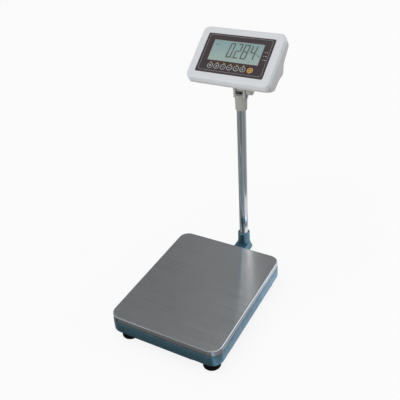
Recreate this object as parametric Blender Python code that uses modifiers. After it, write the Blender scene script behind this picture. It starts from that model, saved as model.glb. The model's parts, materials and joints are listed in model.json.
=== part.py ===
"""Bench platform scale: a stainless pan on a cast base, with its indicator on a column behind.

Units are metres, +Z is up, and the front of the scale faces -Y. The model is laid out round the
middle of the pan, on the floor, and moved at the end so that the box round the whole scale is
centred over the origin.
"""
import math

import bmesh
import bpy
from mathutils import Matrix, Vector

for old_object in list(bpy.data.objects):
    bpy.data.objects.remove(old_object, do_unlink=True)

# Clearances
GAP = 0.0003                 # between pieces that touch
SCREW_GAP = 0.0003           # round a shank in its hole

# Weighing pan, a pressed tray turned upside down
PAN_WIDTH = 0.300
PAN_DEPTH = 0.377
PAN_TOP = 0.080              # height of the load face above the floor
PAN_SKIRT = 0.0156
PAN_SHEET = 0.0015
PAN_CORNER = 0.028
PAN_EDGE = 0.0026
PAN_DRAUGHT_GAP = 0.0015     # air between the skirt and the base

# Base casting, an open tray
BASE_OVERHANG = 0.001        # how far the base stands out past the pan
BASE_BOTTOM = 0.0307
BASE_WALL = 0.005
BASE_FLOOR = 0.004
BASE_EDGE = 0.0022
LIP_HEIGHT = 0.0028          # rim below the floor of the tray
LIP_WIDTH = 0.007
CORNER_RELIEF = 0.068        # length of each corner without a rim
RIB_THICKNESS = 0.004
RIB_HEIGHT = 0.012
RIB_START = 0.30             # share of the way from the middle to a foot, clear of the cell
LEVEL_BOSS_HEIGHT = 0.010

# Levelling feet
FOOT_INSET_X = 0.035          # from the side of the base to the foot's middle
FOOT_INSET_Y = 0.034
PAD_RADIUS = 0.022
PAD_HEIGHT = 0.026
PAD_EDGE = 0.002
PAD_SOCKET_DEPTH = 0.014
STUD_RADIUS = 0.0048
STUD_LENGTH = 0.046
STUD_HEX = 0.0095
FOOT_BOSS_RADIUS = 0.012
FOOT_BOSS_HEIGHT = 0.020

# Load cell and what it carries
CELL_LENGTH = 0.130
CELL_WIDTH = 0.030
CELL_HEIGHT = 0.022
CELL_EYE = 0.0075            # radius of each of the two eyes cut through the cell
CELL_EYE_SPACING = 0.026
CELL_SLOT = 0.006
CELL_PAD = 0.003             # raised seat on the base floor
CELL_PAD_LENGTH = 0.042
CELL_BOLT_INSET = 0.010      # first bolt from the end of the cell
CELL_BOLT_PITCH = 0.020
BOLT_RADIUS = 0.0027
BOLT_HEAD_RADIUS = 0.0052
BOLT_HEAD_HEIGHT = 0.0032
BOLT_GRIP = 0.010            # thread length inside the cell
SUPPORT_PAD = 0.0035
SUPPORT_PLATE = 0.007
SUPPORT_HUB = 0.078
SUPPORT_ARM_WIDTH = 0.020
BUFFER_INSET_X = 0.038       # from the pan's edge to the buffer's middle
BUFFER_INSET_Y = 0.0435
BUFFER_RADIUS = 0.009
BUFFER_PLUG_RADIUS = 0.003
BUFFER_PLUG_LENGTH = 0.005
SUPPORT_EYE_RADIUS = 0.014

# Round spirit level, seen when the pan is off
LEVEL_INSET = 0.0395         # from the front of the base to the level's middle
LEVEL_RADIUS = 0.010
LEVEL_HEIGHT = 0.008
LEVEL_RIM = 0.0018
VIAL_HEIGHT = 0.0060

# Column and the cast bracket that holds it
COLUMN_REACH = 0.0879        # pan's rear edge to the column's axis
TUBE_RADIUS = 0.0127
TUBE_WALL = 0.0015
TUBE_TOP = 0.4955
SOCKET_WALL = 0.0043
SOCKET_TOP = 0.065
SOCKET_EDGE = 0.0012
SOCKET_FLARE_HEIGHT = 0.014
SOCKET_FLARE_FOOT = 0.006    # how far the flare runs down the arm's drafted side
SOCKET_FLARE_STEPS = 4
ARM_HEIGHT = 0.017
ARM_DRAFT = 0.0072           # how much wider the arm is at its lower edge, each side
ARM_WALL = 0.005
ARM_CORNER = 0.012
ARM_UNDER_BASE = 0.084
CABLE_HOLE = 0.007
ARM_BOLT_RADIUS = 0.0039
ARM_BOLT_HEAD = 0.0072
ARM_BOLT_HEAD_HEIGHT = 0.0055
ARM_BOLT_INSET = 0.016
ARM_BOLT_PITCH = 0.046
ARM_BOSS_RADIUS = 0.010
ARM_BOSS_HEIGHT = 0.008
COLUMN_SCREW_RADIUS = 0.0028
COLUMN_SCREW_HEAD = 0.0050
COLUMN_SCREW_HEAD_HEIGHT = 0.0040
COLUMN_SCREW_COUNT = 2
COLUMN_SCREW_DROP = 0.008    # from the socket's rim to the upper screw
COLUMN_SCREW_PITCH = 0.013

# Plastic head on top of the column, a sleeve with a fork
SLEEVE_COVER = 0.040         # length of column inside the sleeve
SLEEVE_HEIGHT = 0.035
SLEEVE_BOTTOM_RADIUS = 0.0150
SLEEVE_TOP_RADIUS = 0.0162
FORK_WIDTH = 0.032
FORK_DEPTH = 0.024
FORK_FLOOR = 0.0032
FORK_CHEEK = 0.006
HINGE_RISE = 0.0130          # from the floor of the fork to the tilt axis
HEAD_EDGE = 0.0008
TILT_BOLT_RADIUS = 0.0038
TILT_BOLT_HEAD_RADIUS = 0.0068
TILT_BOLT_HEAD_HEIGHT = 0.0035
WASHER_RADIUS = 0.0088
WASHER_THICKNESS = 0.0018
KNOB_RADIUS = 0.0140
KNOB_LENGTH = 0.0155
KNOB_EDGE = 0.0016
KNOB_FLUTES = 8
KNOB_FLUTE_RADIUS = 0.0045
KNOB_FLUTE_DEPTH = 0.0016
SWIVEL_SCREW_DROP = 0.0045   # from the top of the column to the swivel screw
SWIVEL_SCREW_RADIUS = 0.0023
SWIVEL_SCREW_HEAD = 0.0038
SWIVEL_SCREW_HEAD_HEIGHT = 0.0030

# Indicator housing, laid out in the plane of its face: x right, y up the face, z out of it
FACE_LEAN = math.radians(37)  # the face's slope from level
FACE_ABOVE_HINGE = 0.0936
FACE_UP_FROM_HINGE = 0.0342
HOUSING_WIDTH = 0.2192
HOUSING_TOP = 0.0748         # from the middle of the overlay
HOUSING_BOTTOM = 0.0754
HOUSING_CORNER = 0.0150
HOUSING_DRAFT = 0.0012       # how much smaller the bezel is at its face, each side
HOUSING_WALL = 0.0026
HOUSING_INSET = 0.0003       # the rear shell is this much smaller than the bezel
BEZEL_DEPTH = 0.014
BEZEL_EDGE = 0.0040
BEZEL_FRONT_WALL = 0.0026
REAR_EDGE = 0.006
# Back of the housing, seen from the side: distance up the face, and depth behind it
REAR_PROFILE = [
    (0.0775, 0.010), (0.0740, 0.0295), (0.0190, 0.0405), (0.0010, 0.0595),
    (-0.0240, 0.0480), (-0.0540, 0.0450), (-0.0780, 0.0190), (-0.0780, 0.010),
]
HUMP_REAR = 3                # the profile point at the hump's lower rear corner
HUMP_FRONT = 4               # the profile point where its underside meets the shell

# Screws that close the housing, driven from the back through deep wells
HOUSING_SCREW_INSET_X = 0.0122
HOUSING_SCREW_INSET_Y = 0.0135
HOUSING_SCREW_RADIUS = 0.0015
HOUSING_SCREW_HEAD = 0.0030
HOUSING_SCREW_HEAD_HEIGHT = 0.0022
HOUSING_SCREW_GRIP = 0.0095  # thread length inside the bezel's boss
WELL_RADIUS = 0.0062
WELL_BORE = 0.0038
WELL_FLOOR = 0.0030          # thickness under the screw's head
SCREW_BOSS_RADIUS = 0.0045
SCREW_BOSS_RISE = 0.0032     # how far each boss stands past the bezel's rear edge

# Membrane keypad and display
OVERLAY_WIDTH = 0.178
OVERLAY_HEIGHT = 0.1105
OVERLAY_CORNER = 0.004
OVERLAY_THICKNESS = 0.0006
OVERLAY_RECESS = 0.0014
LCD_X = -0.001
LCD_Y = 0.0089
LCD_WIDTH = 0.133
LCD_HEIGHT = 0.058
LCD_GLASS = 0.0050
LCD_BACK = 0.0008            # how far the glass lies behind the bezel's face
LCD_HOLDER_MARGIN = 0.003
LCD_HOLDER_DEPTH = 0.0051
KEY_RADIUS = 0.0075
KEY_Y = -0.0353
KEY_FIRST_X = -0.0540
KEY_PITCH = 0.01724
KEY_COUNT = 6
POWER_KEY_X = 0.0512
KEY_THICKNESS = 0.0011
KEY_BACK = 0.0002
KEY_TRAVEL = 0.0005
KEY_STEM_RADIUS = 0.0025
LED_RADIUS = 0.0015
LED_X = 0.0715
LED_FIRST_Y = 0.0172
LED_PITCH = 0.0104
LED_COUNT = 3
LED_BACK = 0.0004

# Inside the housing
BOARD_WIDTH = 0.178
BOARD_HEIGHT = 0.118
BOARD_THICKNESS = 0.0016
BOARD_BACK = 0.0115          # the board's front face, behind the bezel's face
SWITCH_SIZE = 0.006
SWITCH_HEIGHT = 0.0035
POST_RADIUS = 0.0035
POST_X = 0.083
POST_TOP_Y = 0.054
POST_BOTTOM_Y = -0.054
BATTERY_WIDTH = 0.100
BATTERY_HEIGHT = 0.036
BATTERY_THICKNESS = 0.0150
BATTERY_BACK = 0.0170
BATTERY_Y = -0.0085
CRADLE_X = 0.035
CRADLE_THICKNESS = 0.003
CRADLE_FRONT_Y = -0.008
CRADLE_REAR_Y = 0.004
CRADLE_BACK = 0.0540

# Tilt bracket between the fork and the housing
LUG_RADIUS = 0.008
LUG_SIDE_GAP = 0.0004
FLANGE_WIDTH = 0.068
FLANGE_LENGTH = 0.019
FLANGE_THICKNESS = 0.004
NECK_FOOT = 0.014
FLANGE_SCREW_X = 0.026
FLANGE_SCREW_RADIUS = 0.0018
FLANGE_SCREW_HEAD = 0.0035
FLANGE_SCREW_HEAD_HEIGHT = 0.0022
FLANGE_SCREW_GRIP = 0.006
SHELL_PAD = 0.007            # thickened wall inside the shell, over the flange

# Cable gland and power inlet on the back of the hump
GLAND_X = 0.045
GLAND_RADIUS = 0.0075
GLAND_LENGTH = 0.014
INLET_X = -0.045
INLET_RADIUS = 0.0060
INLET_LENGTH = 0.0025
INLET_BORE = 0.0030

# Worked out from the sizes above
BASE_WIDTH = PAN_WIDTH + 2 * BASE_OVERHANG
BASE_DEPTH = PAN_DEPTH + 2 * BASE_OVERHANG
BASE_CORNER = PAN_CORNER + BASE_OVERHANG
BASE_TOP = PAN_TOP - PAN_SKIRT - PAN_DRAUGHT_GAP
PAN_UNDERSIDE = PAN_TOP - PAN_SHEET
FOOT_X = BASE_WIDTH / 2 - FOOT_INSET_X
FOOT_Y = BASE_DEPTH / 2 - FOOT_INSET_Y
BUFFER_X = PAN_WIDTH / 2 - BUFFER_INSET_X
BUFFER_Y = PAN_DEPTH / 2 - BUFFER_INSET_Y
LEVEL_Y = LEVEL_INSET - BASE_DEPTH / 2
FLOOR_UNDERSIDE = BASE_BOTTOM + LIP_HEIGHT
FLOOR_TOP = FLOOR_UNDERSIDE + BASE_FLOOR
CELL_BOTTOM = FLOOR_TOP + CELL_PAD + GAP
CELL_TOP = CELL_BOTTOM + CELL_HEIGHT
SUPPORT_BOTTOM = CELL_TOP + GAP + SUPPORT_PAD
SUPPORT_TOP = SUPPORT_BOTTOM + SUPPORT_PLATE
COLUMN_Y = PAN_DEPTH / 2 + COLUMN_REACH
SOCKET_RADIUS = TUBE_RADIUS + GAP + SOCKET_WALL
ARM_TOP = BASE_BOTTOM - GAP
ARM_BOTTOM = ARM_TOP - ARM_HEIGHT
ARM_FRONT_Y = BASE_DEPTH / 2 - ARM_UNDER_BASE
SOCKET_FLOOR = ARM_TOP + GAP
TUBE_BOTTOM = SOCKET_FLOOR + GAP
SLEEVE_BOTTOM = TUBE_TOP - SLEEVE_COVER
SLEEVE_TOP = SLEEVE_BOTTOM + SLEEVE_HEIGHT
FORK_BASE = TUBE_TOP + GAP + FORK_FLOOR
HINGE_HEIGHT = FORK_BASE + HINGE_RISE
FORK_INSIDE = FORK_WIDTH / 2 - FORK_CHEEK
COLUMN_SCREW_HEIGHTS = [SOCKET_TOP - COLUMN_SCREW_DROP - step * COLUMN_SCREW_PITCH
                        for step in range(COLUMN_SCREW_COUNT)]
KEY_XS = [KEY_FIRST_X + step * KEY_PITCH for step in range(KEY_COUNT)]
LED_YS = [LED_FIRST_Y - step * LED_PITCH for step in range(LED_COUNT)]
HOUSING_SCREW_X = HOUSING_WIDTH / 2 - HOUSING_SCREW_INSET_X
HOUSING_SCREW_PLACES = [(x, y) for y in (HOUSING_TOP - HOUSING_SCREW_INSET_Y,
                                         HOUSING_SCREW_INSET_Y - HOUSING_BOTTOM)
                        for x in (-HOUSING_SCREW_X, HOUSING_SCREW_X)]
BOSS_END = BEZEL_DEPTH + SCREW_BOSS_RISE

SCALE = bpy.data.collections.new("platform_scale")
CUTTERS = bpy.data.collections.new("cutters")
for new_collection in (SCALE, CUTTERS):
    bpy.context.scene.collection.children.link(new_collection)


def make_material(name, color, roughness, metallic=0.0):
    material = bpy.data.materials.new(name)
    material.use_nodes = True
    shader = material.node_tree.nodes["Principled BSDF"]
    shader.inputs["Base Color"].default_value = (*color, 1.0)
    shader.inputs["Roughness"].default_value = roughness
    shader.inputs["Metallic"].default_value = metallic
    material.diffuse_color = (*color, 1.0)
    return material


BRUSHED_STEEL = make_material("brushed_steel", (0.42, 0.43, 0.44), 0.35, 1.0)
POLISHED_STEEL = make_material("polished_steel", (0.60, 0.61, 0.62), 0.12, 1.0)
CAST_PAINT = make_material("cast_paint", (0.050, 0.115, 0.145), 0.40)
RUBBER = make_material("black_rubber", (0.010, 0.010, 0.011), 0.75)
ZINC = make_material("zinc_plated_steel", (0.55, 0.56, 0.57), 0.35, 1.0)
ALUMINIUM = make_material("machined_aluminium", (0.62, 0.63, 0.65), 0.35, 1.0)
GREY_PLASTIC = make_material("grey_plastic", (0.26, 0.26, 0.25), 0.55)
WHITE_PLASTIC = make_material("housing_plastic", (0.62, 0.64, 0.66), 0.45)
SHELL_PLASTIC = make_material("rear_shell_plastic", (0.47, 0.46, 0.45), 0.50)
OVERLAY_FILM = make_material("overlay_film", (0.043, 0.032, 0.035), 0.35)
LCD_FILM = make_material("lcd_film", (0.25, 0.36, 0.36), 0.20)
KEY_FILM = make_material("key_film", (0.050, 0.045, 0.048), 0.40)
ORANGE_FILM = make_material("power_key_film", (0.72, 0.35, 0.03), 0.40)
GREEN_LENS = make_material("green_lens", (0.05, 0.40, 0.08), 0.25)
DARK_PLASTIC = make_material("dark_plastic", (0.03, 0.03, 0.032), 0.50)
BOARD_GREEN = make_material("board_green", (0.02, 0.12, 0.05), 0.45)
BATTERY_CASE = make_material("battery_case", (0.08, 0.08, 0.09), 0.50)
CLEAR_PLASTIC = make_material("level_vial_plastic", (0.55, 0.75, 0.25), 0.10)


def put_in_scene(name, mesh, material=None, parent=None, location=(0, 0, 0), turn=(0, 0, 0)):
    """Link a mesh as an object; one without a material is a cutter or a shape to be joined."""
    placed = bpy.data.objects.new(name, mesh)
    placed.location = location
    placed.rotation_euler = turn
    placed.parent = parent
    if material is None:
        CUTTERS.objects.link(placed)
        placed.hide_render = True
        placed.display_type = "WIRE"
    else:
        SCALE.objects.link(placed)
        mesh.materials.clear()
        mesh.materials.append(material)
    return placed


def mesh_from(bm, name, smooth=False):
    bmesh.ops.recalc_face_normals(bm, faces=bm.faces)
    mesh = bpy.data.meshes.new(name)
    bm.to_mesh(mesh)
    bm.free()
    if smooth:
        mesh.shade_smooth()
        mesh.set_sharp_from_angle(angle=math.radians(35))
    return mesh


def bevel_edges(bm, chosen, radius, steps):
    bmesh.ops.bevel(bm, geom=chosen, offset=radius, segments=steps, profile=0.5,
                    affect="EDGES", offset_type="OFFSET", clamp_overlap=True)


def block(name, low, high, material=None, parent=None, corner=0.0, corner_steps=6,
          top=0.0, bottom=0.0, edge_steps=3, origin=None, turn=(0, 0, 0)):
    """A box between two corners, with its upright edges and then its top or bottom rim rounded.

    The object's origin is the middle of the box, unless origin gives another point; the corners
    are then counted from that point.
    """
    low, high = Vector(low), Vector(high)
    place = Vector(origin) if origin is not None else (low + high) / 2
    middle = (low + high) / 2 if origin is not None else Vector()
    size = high - low
    bm = bmesh.new()
    bmesh.ops.create_cube(bm, size=1.0, matrix=Matrix.Diagonal((*size, 1.0)))
    if corner > 0:
        uprights = [e for e in bm.edges if abs(e.verts[0].co.z - e.verts[1].co.z) > size.z / 2]
        bevel_edges(bm, uprights, corner, corner_steps)
    for radius, level in ((top, size.z / 2), (bottom, -size.z / 2)):
        if radius > 0:
            rim = [e for e in bm.edges if all(abs(v.co.z - level) < 1e-6 for v in e.verts)]
            bevel_edges(bm, rim, radius, edge_steps)
    bmesh.ops.translate(bm, verts=bm.verts, vec=middle)
    return put_in_scene(name, mesh_from(bm, name, corner > 0), material, parent, place, turn)


def rod(name, radius, bottom, top, material=None, parent=None, location=(0, 0, 0),
        turn=(0, 0, 0), sides=24, top_radius=None):
    """A cylinder or cone along its own Z axis, between two heights."""
    bm = bmesh.new()
    end_radius = radius if top_radius is None else top_radius
    bmesh.ops.create_cone(bm, cap_ends=True, segments=sides, radius1=radius, radius2=end_radius,
                          depth=top - bottom)
    bmesh.ops.translate(bm, verts=bm.verts, vec=(0, 0, (top + bottom) / 2))
    return put_in_scene(name, mesh_from(bm, name, True), material, parent, location, turn)


def turned(name, profile, material=None, parent=None, location=(0, 0, 0), turn=(0, 0, 0),
           sides=32, closed=False):
    """A lathe profile of (radius, height) points, running down its outer side, swept round Z."""
    mesh = bpy.data.meshes.new(name)
    points = [(radius, 0.0, height) for radius, height in profile]
    lines = [(index, index + 1) for index in range(len(points) - 1)]
    if closed:
        lines.append((len(points) - 1, 0))
    mesh.from_pydata(points, lines, [])
    placed = put_in_scene(name, mesh, material, parent, location, turn)
    screw = placed.modifiers.new("lathe", "SCREW")
    screw.steps = screw.render_steps = sides
    screw.use_merge_vertices = True
    screw.merge_threshold = 0.00001
    screw.use_smooth_shade = True
    return placed


def arc(centre, radius, start, end, steps):
    """Points of a circular arc, with angles in degrees."""
    angles = [math.radians(start + (end - start) * step / steps) for step in range(steps + 1)]
    return [(centre[0] + radius * math.cos(a), centre[1] + radius * math.sin(a)) for a in angles]


def bend(start, corner, end, steps):
    """A smooth curve from start to end that leaves and arrives along the lines to the corner."""
    start, corner, end = Vector(start), Vector(corner), Vector(end)
    shares = [step / steps for step in range(steps + 1)]
    return [tuple((1 - t) ** 2 * start + 2 * t * (1 - t) * corner + t ** 2 * end) for t in shares]


def rounded(points, radius, steps):
    """A closed outline with each corner replaced by an arc of points that touches both sides."""
    outline = []
    for index, point in enumerate(points):
        corner = Vector(point)
        to_last = (Vector(points[index - 1]) - corner)
        to_next = (Vector(points[(index + 1) % len(points)]) - corner)
        half_angle = to_last.angle(to_next) / 2
        reach = min(radius / math.tan(half_angle), 0.45 * min(to_last.length, to_next.length))
        outline += bend(corner + to_last.normalized() * reach, corner,
                        corner + to_next.normalized() * reach, steps)
    return outline


def inset(points, distance):
    """The outline moved inwards by one distance all round."""
    area = sum(points[i - 1][0] * points[i][1] - points[i][0] * points[i - 1][1]
               for i in range(len(points)))
    inward = 1 if area > 0 else -1
    moved = []
    for index, point in enumerate(points):
        before = (Vector(point) - Vector(points[index - 1])).normalized()
        after = (Vector(points[(index + 1) % len(points)]) - Vector(point)).normalized()
        normal_before = Vector((-before.y, before.x)) * inward
        normal_after = Vector((-after.y, after.x)) * inward
        share = distance / (1 + normal_before.dot(normal_after))
        moved.append(tuple(Vector(point) + (normal_before + normal_after) * share))
    return moved


def side_prism(name, outline, half_width, material=None, parent=None, location=(0, 0, 0)):
    """An outline in the YZ plane, extruded to both sides along X as a filled 2D curve."""
    curve = bpy.data.curves.new(name, "CURVE")
    curve.dimensions = "2D"
    curve.fill_mode = "BOTH"
    curve.extrude = half_width
    spline = curve.splines.new("POLY")
    spline.points.add(len(outline) - 1)
    for point, (y, z) in zip(spline.points, outline):
        point.co = (y, z, 0.0, 1.0)
    spline.use_cyclic_u = True
    drawn = bpy.data.objects.new(name + "_outline", curve)
    CUTTERS.objects.link(drawn)
    mesh = bpy.data.meshes.new_from_object(
        drawn.evaluated_get(bpy.context.evaluated_depsgraph_get()))
    bpy.data.objects.remove(drawn, do_unlink=True)
    bm = bmesh.new()
    bm.from_mesh(mesh)
    bmesh.ops.remove_doubles(bm, verts=bm.verts, dist=0.00001)
    # The curve lies in XY: stand its X along Y and its Y along Z.
    bmesh.ops.transform(bm, matrix=Matrix(((0, 0, 1, 0), (1, 0, 0, 0), (0, 1, 0, 0), (0, 0, 0, 1))),
                        verts=bm.verts)
    return put_in_scene(name, mesh_from(bm, name, True), material, parent, location)


def drafted(name, lower, upper, bottom, top, material=None, parent=None):
    """A solid between two outlines of as many points each, one at the bottom and one at the top."""
    bm = bmesh.new()
    low_ring = [bm.verts.new((x, y, bottom)) for x, y in lower]
    high_ring = [bm.verts.new((x, y, top)) for x, y in upper]
    bm.faces.new(low_ring[::-1])
    bm.faces.new(high_ring)
    for index in range(len(low_ring)):
        bm.faces.new((low_ring[index - 1], low_ring[index], high_ring[index], high_ring[index - 1]))
    return put_in_scene(name, mesh_from(bm, name, True), material, parent)


def arm_outline(half_width, corner):
    """Plan of the arm, from the column's axis forwards to its two rounded front corners."""
    front_y = ARM_FRONT_Y + ARM_CORNER
    side = half_width - corner
    return ([(half_width, COLUMN_Y), (-half_width, COLUMN_Y)]
            + arc((-side, front_y), corner, 180, 270, 4)
            + arc((side, front_y), corner, 270, 360, 4))


def boolean(target, operand, operation):
    step = target.modifiers.new(operand.name, "BOOLEAN")
    step.operation = operation
    step.object = operand


def cut(target, *cutters):
    for cutter in cutters:
        boolean(target, cutter, "DIFFERENCE")


def join(target, *shapes):
    for shape in shapes:
        boolean(target, shape, "UNION")


def empty(name, location=(0, 0, 0), turn=(0, 0, 0), parent=None):
    marker = bpy.data.objects.new(name, None)
    marker.location = location
    marker.rotation_euler = turn
    marker.parent = parent
    SCALE.objects.link(marker)
    return marker


def corners(x, y):
    """The four corner places, front left, front right, rear right and rear left."""
    return [(-x, -y), (x, -y), (x, y), (-x, y)]


def make_pan(parent):
    half_width, half_depth = PAN_WIDTH / 2, PAN_DEPTH / 2
    pan = block("weighing_pan", (-half_width, -half_depth, PAN_TOP - PAN_SKIRT),
                (half_width, half_depth, PAN_TOP), BRUSHED_STEEL, parent,
                corner=PAN_CORNER, corner_steps=8, top=PAN_EDGE, edge_steps=3)
    hollow = block("pan_hollow",
                   (-half_width + PAN_SHEET, -half_depth + PAN_SHEET, PAN_TOP - 2 * PAN_SKIRT),
                   (half_width - PAN_SHEET, half_depth - PAN_SHEET, PAN_UNDERSIDE), None, parent,
                   corner=PAN_CORNER - PAN_SHEET, corner_steps=8,
                   top=PAN_EDGE - PAN_SHEET, edge_steps=1)
    cut(pan, hollow)
    return pan


def make_base(parent):
    half_width, half_depth = BASE_WIDTH / 2, BASE_DEPTH / 2
    base = block("base_casting", (-half_width, -half_depth, BASE_BOTTOM),
                 (half_width, half_depth, BASE_TOP), CAST_PAINT, parent,
                 corner=BASE_CORNER, corner_steps=8, bottom=BASE_EDGE, edge_steps=2)
    inside = block("base_inside",
                   (-half_width + BASE_WALL, -half_depth + BASE_WALL, FLOOR_TOP),
                   (half_width - BASE_WALL, half_depth - BASE_WALL, PAN_TOP), None, parent,
                   corner=BASE_CORNER - BASE_WALL, corner_steps=6)
    underside = block("base_underside",
                      (-half_width + LIP_WIDTH, -half_depth + LIP_WIDTH, 0.0),
                      (half_width - LIP_WIDTH, half_depth - LIP_WIDTH, FLOOR_UNDERSIDE), None,
                      parent, corner=BASE_CORNER - LIP_WIDTH, corner_steps=6)
    cut(base, inside, underside)
    add_corner_reliefs(base, parent)
    add_base_bosses(base, parent)
    add_base_bores(base, parent)
    return base


def add_corner_reliefs(base, parent):
    """The rim under the base stops short of each foot."""
    for index, (x, y) in enumerate(corners(BASE_WIDTH / 2, BASE_DEPTH / 2), 1):
        inner_x = x - math.copysign(CORNER_RELIEF, x)
        inner_y = y - math.copysign(CORNER_RELIEF, y)
        outer_x = x + math.copysign(CORNER_RELIEF, x)
        outer_y = y + math.copysign(CORNER_RELIEF, y)
        cut(base, block(f"corner_relief_{index}",
                        (min(inner_x, outer_x), min(inner_y, outer_y), 0.0),
                        (max(inner_x, outer_x), max(inner_y, outer_y), FLOOR_UNDERSIDE),
                        None, parent))


def add_base_bosses(base, parent):
    half_width = CELL_WIDTH / 2 + BASE_WALL
    cell_front = -CELL_LENGTH / 2
    join(base, block("cell_pad", (-half_width, cell_front - BASE_WALL, FLOOR_UNDERSIDE + GAP),
                     (half_width, cell_front + CELL_PAD_LENGTH, FLOOR_TOP + CELL_PAD),
                     None, parent))
    for index, (x, y) in enumerate(corners(FOOT_X, FOOT_Y), 1):
        join(base, rod(f"foot_boss_{index}", FOOT_BOSS_RADIUS, 0.0,
                       FOOT_BOSS_HEIGHT + BASE_FLOOR - GAP, None, parent,
                       (x, y, FLOOR_UNDERSIDE + GAP), sides=16))
        reach = math.hypot(x, y)
        join(base, block(f"rib_{index}",
                         (RIB_START * reach, -RIB_THICKNESS / 2, -BASE_FLOOR / 2),
                         (reach - FOOT_BOSS_RADIUS / 2, RIB_THICKNESS / 2, RIB_HEIGHT),
                         None, parent, origin=(0, 0, FLOOR_TOP),
                         turn=(0, 0, math.atan2(y, x))))
    join(base, rod("level_boss", LEVEL_RADIUS + LEVEL_RIM, -BASE_FLOOR / 2, LEVEL_BOSS_HEIGHT,
                   None, parent, (0, LEVEL_Y, FLOOR_TOP), sides=20))
    arm_pad_half = SOCKET_RADIUS
    join(base, block("arm_pad", (-arm_pad_half, ARM_FRONT_Y, BASE_BOTTOM),
                     (arm_pad_half, BASE_DEPTH / 2 - LIP_WIDTH / 2, FLOOR_TOP - GAP),
                     None, parent))
    for index, y in enumerate(arm_bolt_places(), 1):
        join(base, rod(f"arm_boss_{index}", ARM_BOSS_RADIUS, -BASE_FLOOR / 2, ARM_BOSS_HEIGHT,
                       None, parent, (0, y, FLOOR_TOP), sides=16))


def add_base_bores(base, parent):
    for index, (x, y) in enumerate(corners(FOOT_X, FOOT_Y), 1):
        cut(base, rod(f"stud_bore_{index}", STUD_RADIUS + SCREW_GAP, 0.0, PAN_TOP, None, parent,
                      (x, y, 0.0), sides=16))
    for index, y in enumerate(cell_bolt_places()[:2], 1):
        cut(base, rod(f"cell_bolt_bore_{index}", BOLT_RADIUS + SCREW_GAP, 0.0, PAN_TOP, None,
                      parent, (0, y, 0.0), sides=16))
        cut(base, rod(f"cell_bolt_recess_{index}", BOLT_HEAD_RADIUS + SCREW_GAP, 0.0,
                      FLOOR_UNDERSIDE + BOLT_HEAD_HEIGHT, None, parent, (0, y, 0.0), sides=16))
    for index, y in enumerate(arm_bolt_places(), 1):
        cut(base, rod(f"arm_bolt_bore_{index}", ARM_BOLT_RADIUS + SCREW_GAP, 0.0, PAN_TOP, None,
                      parent, (0, y, 0.0), sides=16))


def cell_bolt_places():
    """Distances along Y of the four cell bolts: the fixed end first, then the live end."""
    first = -CELL_LENGTH / 2 + CELL_BOLT_INSET
    return [first, first + CELL_BOLT_PITCH, -first - CELL_BOLT_PITCH, -first]


def arm_bolt_places():
    return [ARM_FRONT_Y + ARM_BOLT_INSET, ARM_FRONT_Y + ARM_BOLT_INSET + ARM_BOLT_PITCH]


def make_foot(index, x, y, parent):
    """One levelling foot: a rubber pad moulded round a threaded steel stud."""
    carrier = empty(f"foot_{index}", (x, y, 0.0), parent=parent)
    socket_radius = STUD_RADIUS + GAP
    socket_floor = PAD_HEIGHT - PAD_SOCKET_DEPTH
    turned(f"foot_pad_{index}",
           [(0, socket_floor), (socket_radius, socket_floor), (socket_radius, PAD_HEIGHT),
            (PAD_RADIUS - 2 * PAD_EDGE, PAD_HEIGHT), (PAD_RADIUS - PAD_EDGE / 2, PAD_HEIGHT - PAD_EDGE),
            (PAD_RADIUS, PAD_EDGE), (PAD_RADIUS - PAD_EDGE / 2, 0), (0, 0)],
           RUBBER, carrier, sides=24)
    hex_bottom = PAD_HEIGHT + GAP
    hex_top = FLOOR_UNDERSIDE - GAP
    stud_bottom = socket_floor + GAP
    stud = rod(f"foot_stud_{index}", STUD_RADIUS, stud_bottom, stud_bottom + STUD_LENGTH, ZINC,
               carrier, sides=16)
    join(stud, rod(f"stud_hex_{index}", STUD_HEX, hex_bottom, hex_top, None, carrier, sides=6))


def bolt(name, head_radius, head_height, radius, length, parent, location, turn=(0, 0, 0),
         material=None, sides=16):
    """A headed screw: head above its origin, shank below it along -Z."""
    return turned(name, [(0, head_height), (head_radius, head_height), (head_radius, 0),
                         (radius, 0), (radius, -length), (0, -length)],
                  material or ZINC, parent, location, turn, sides)


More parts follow.
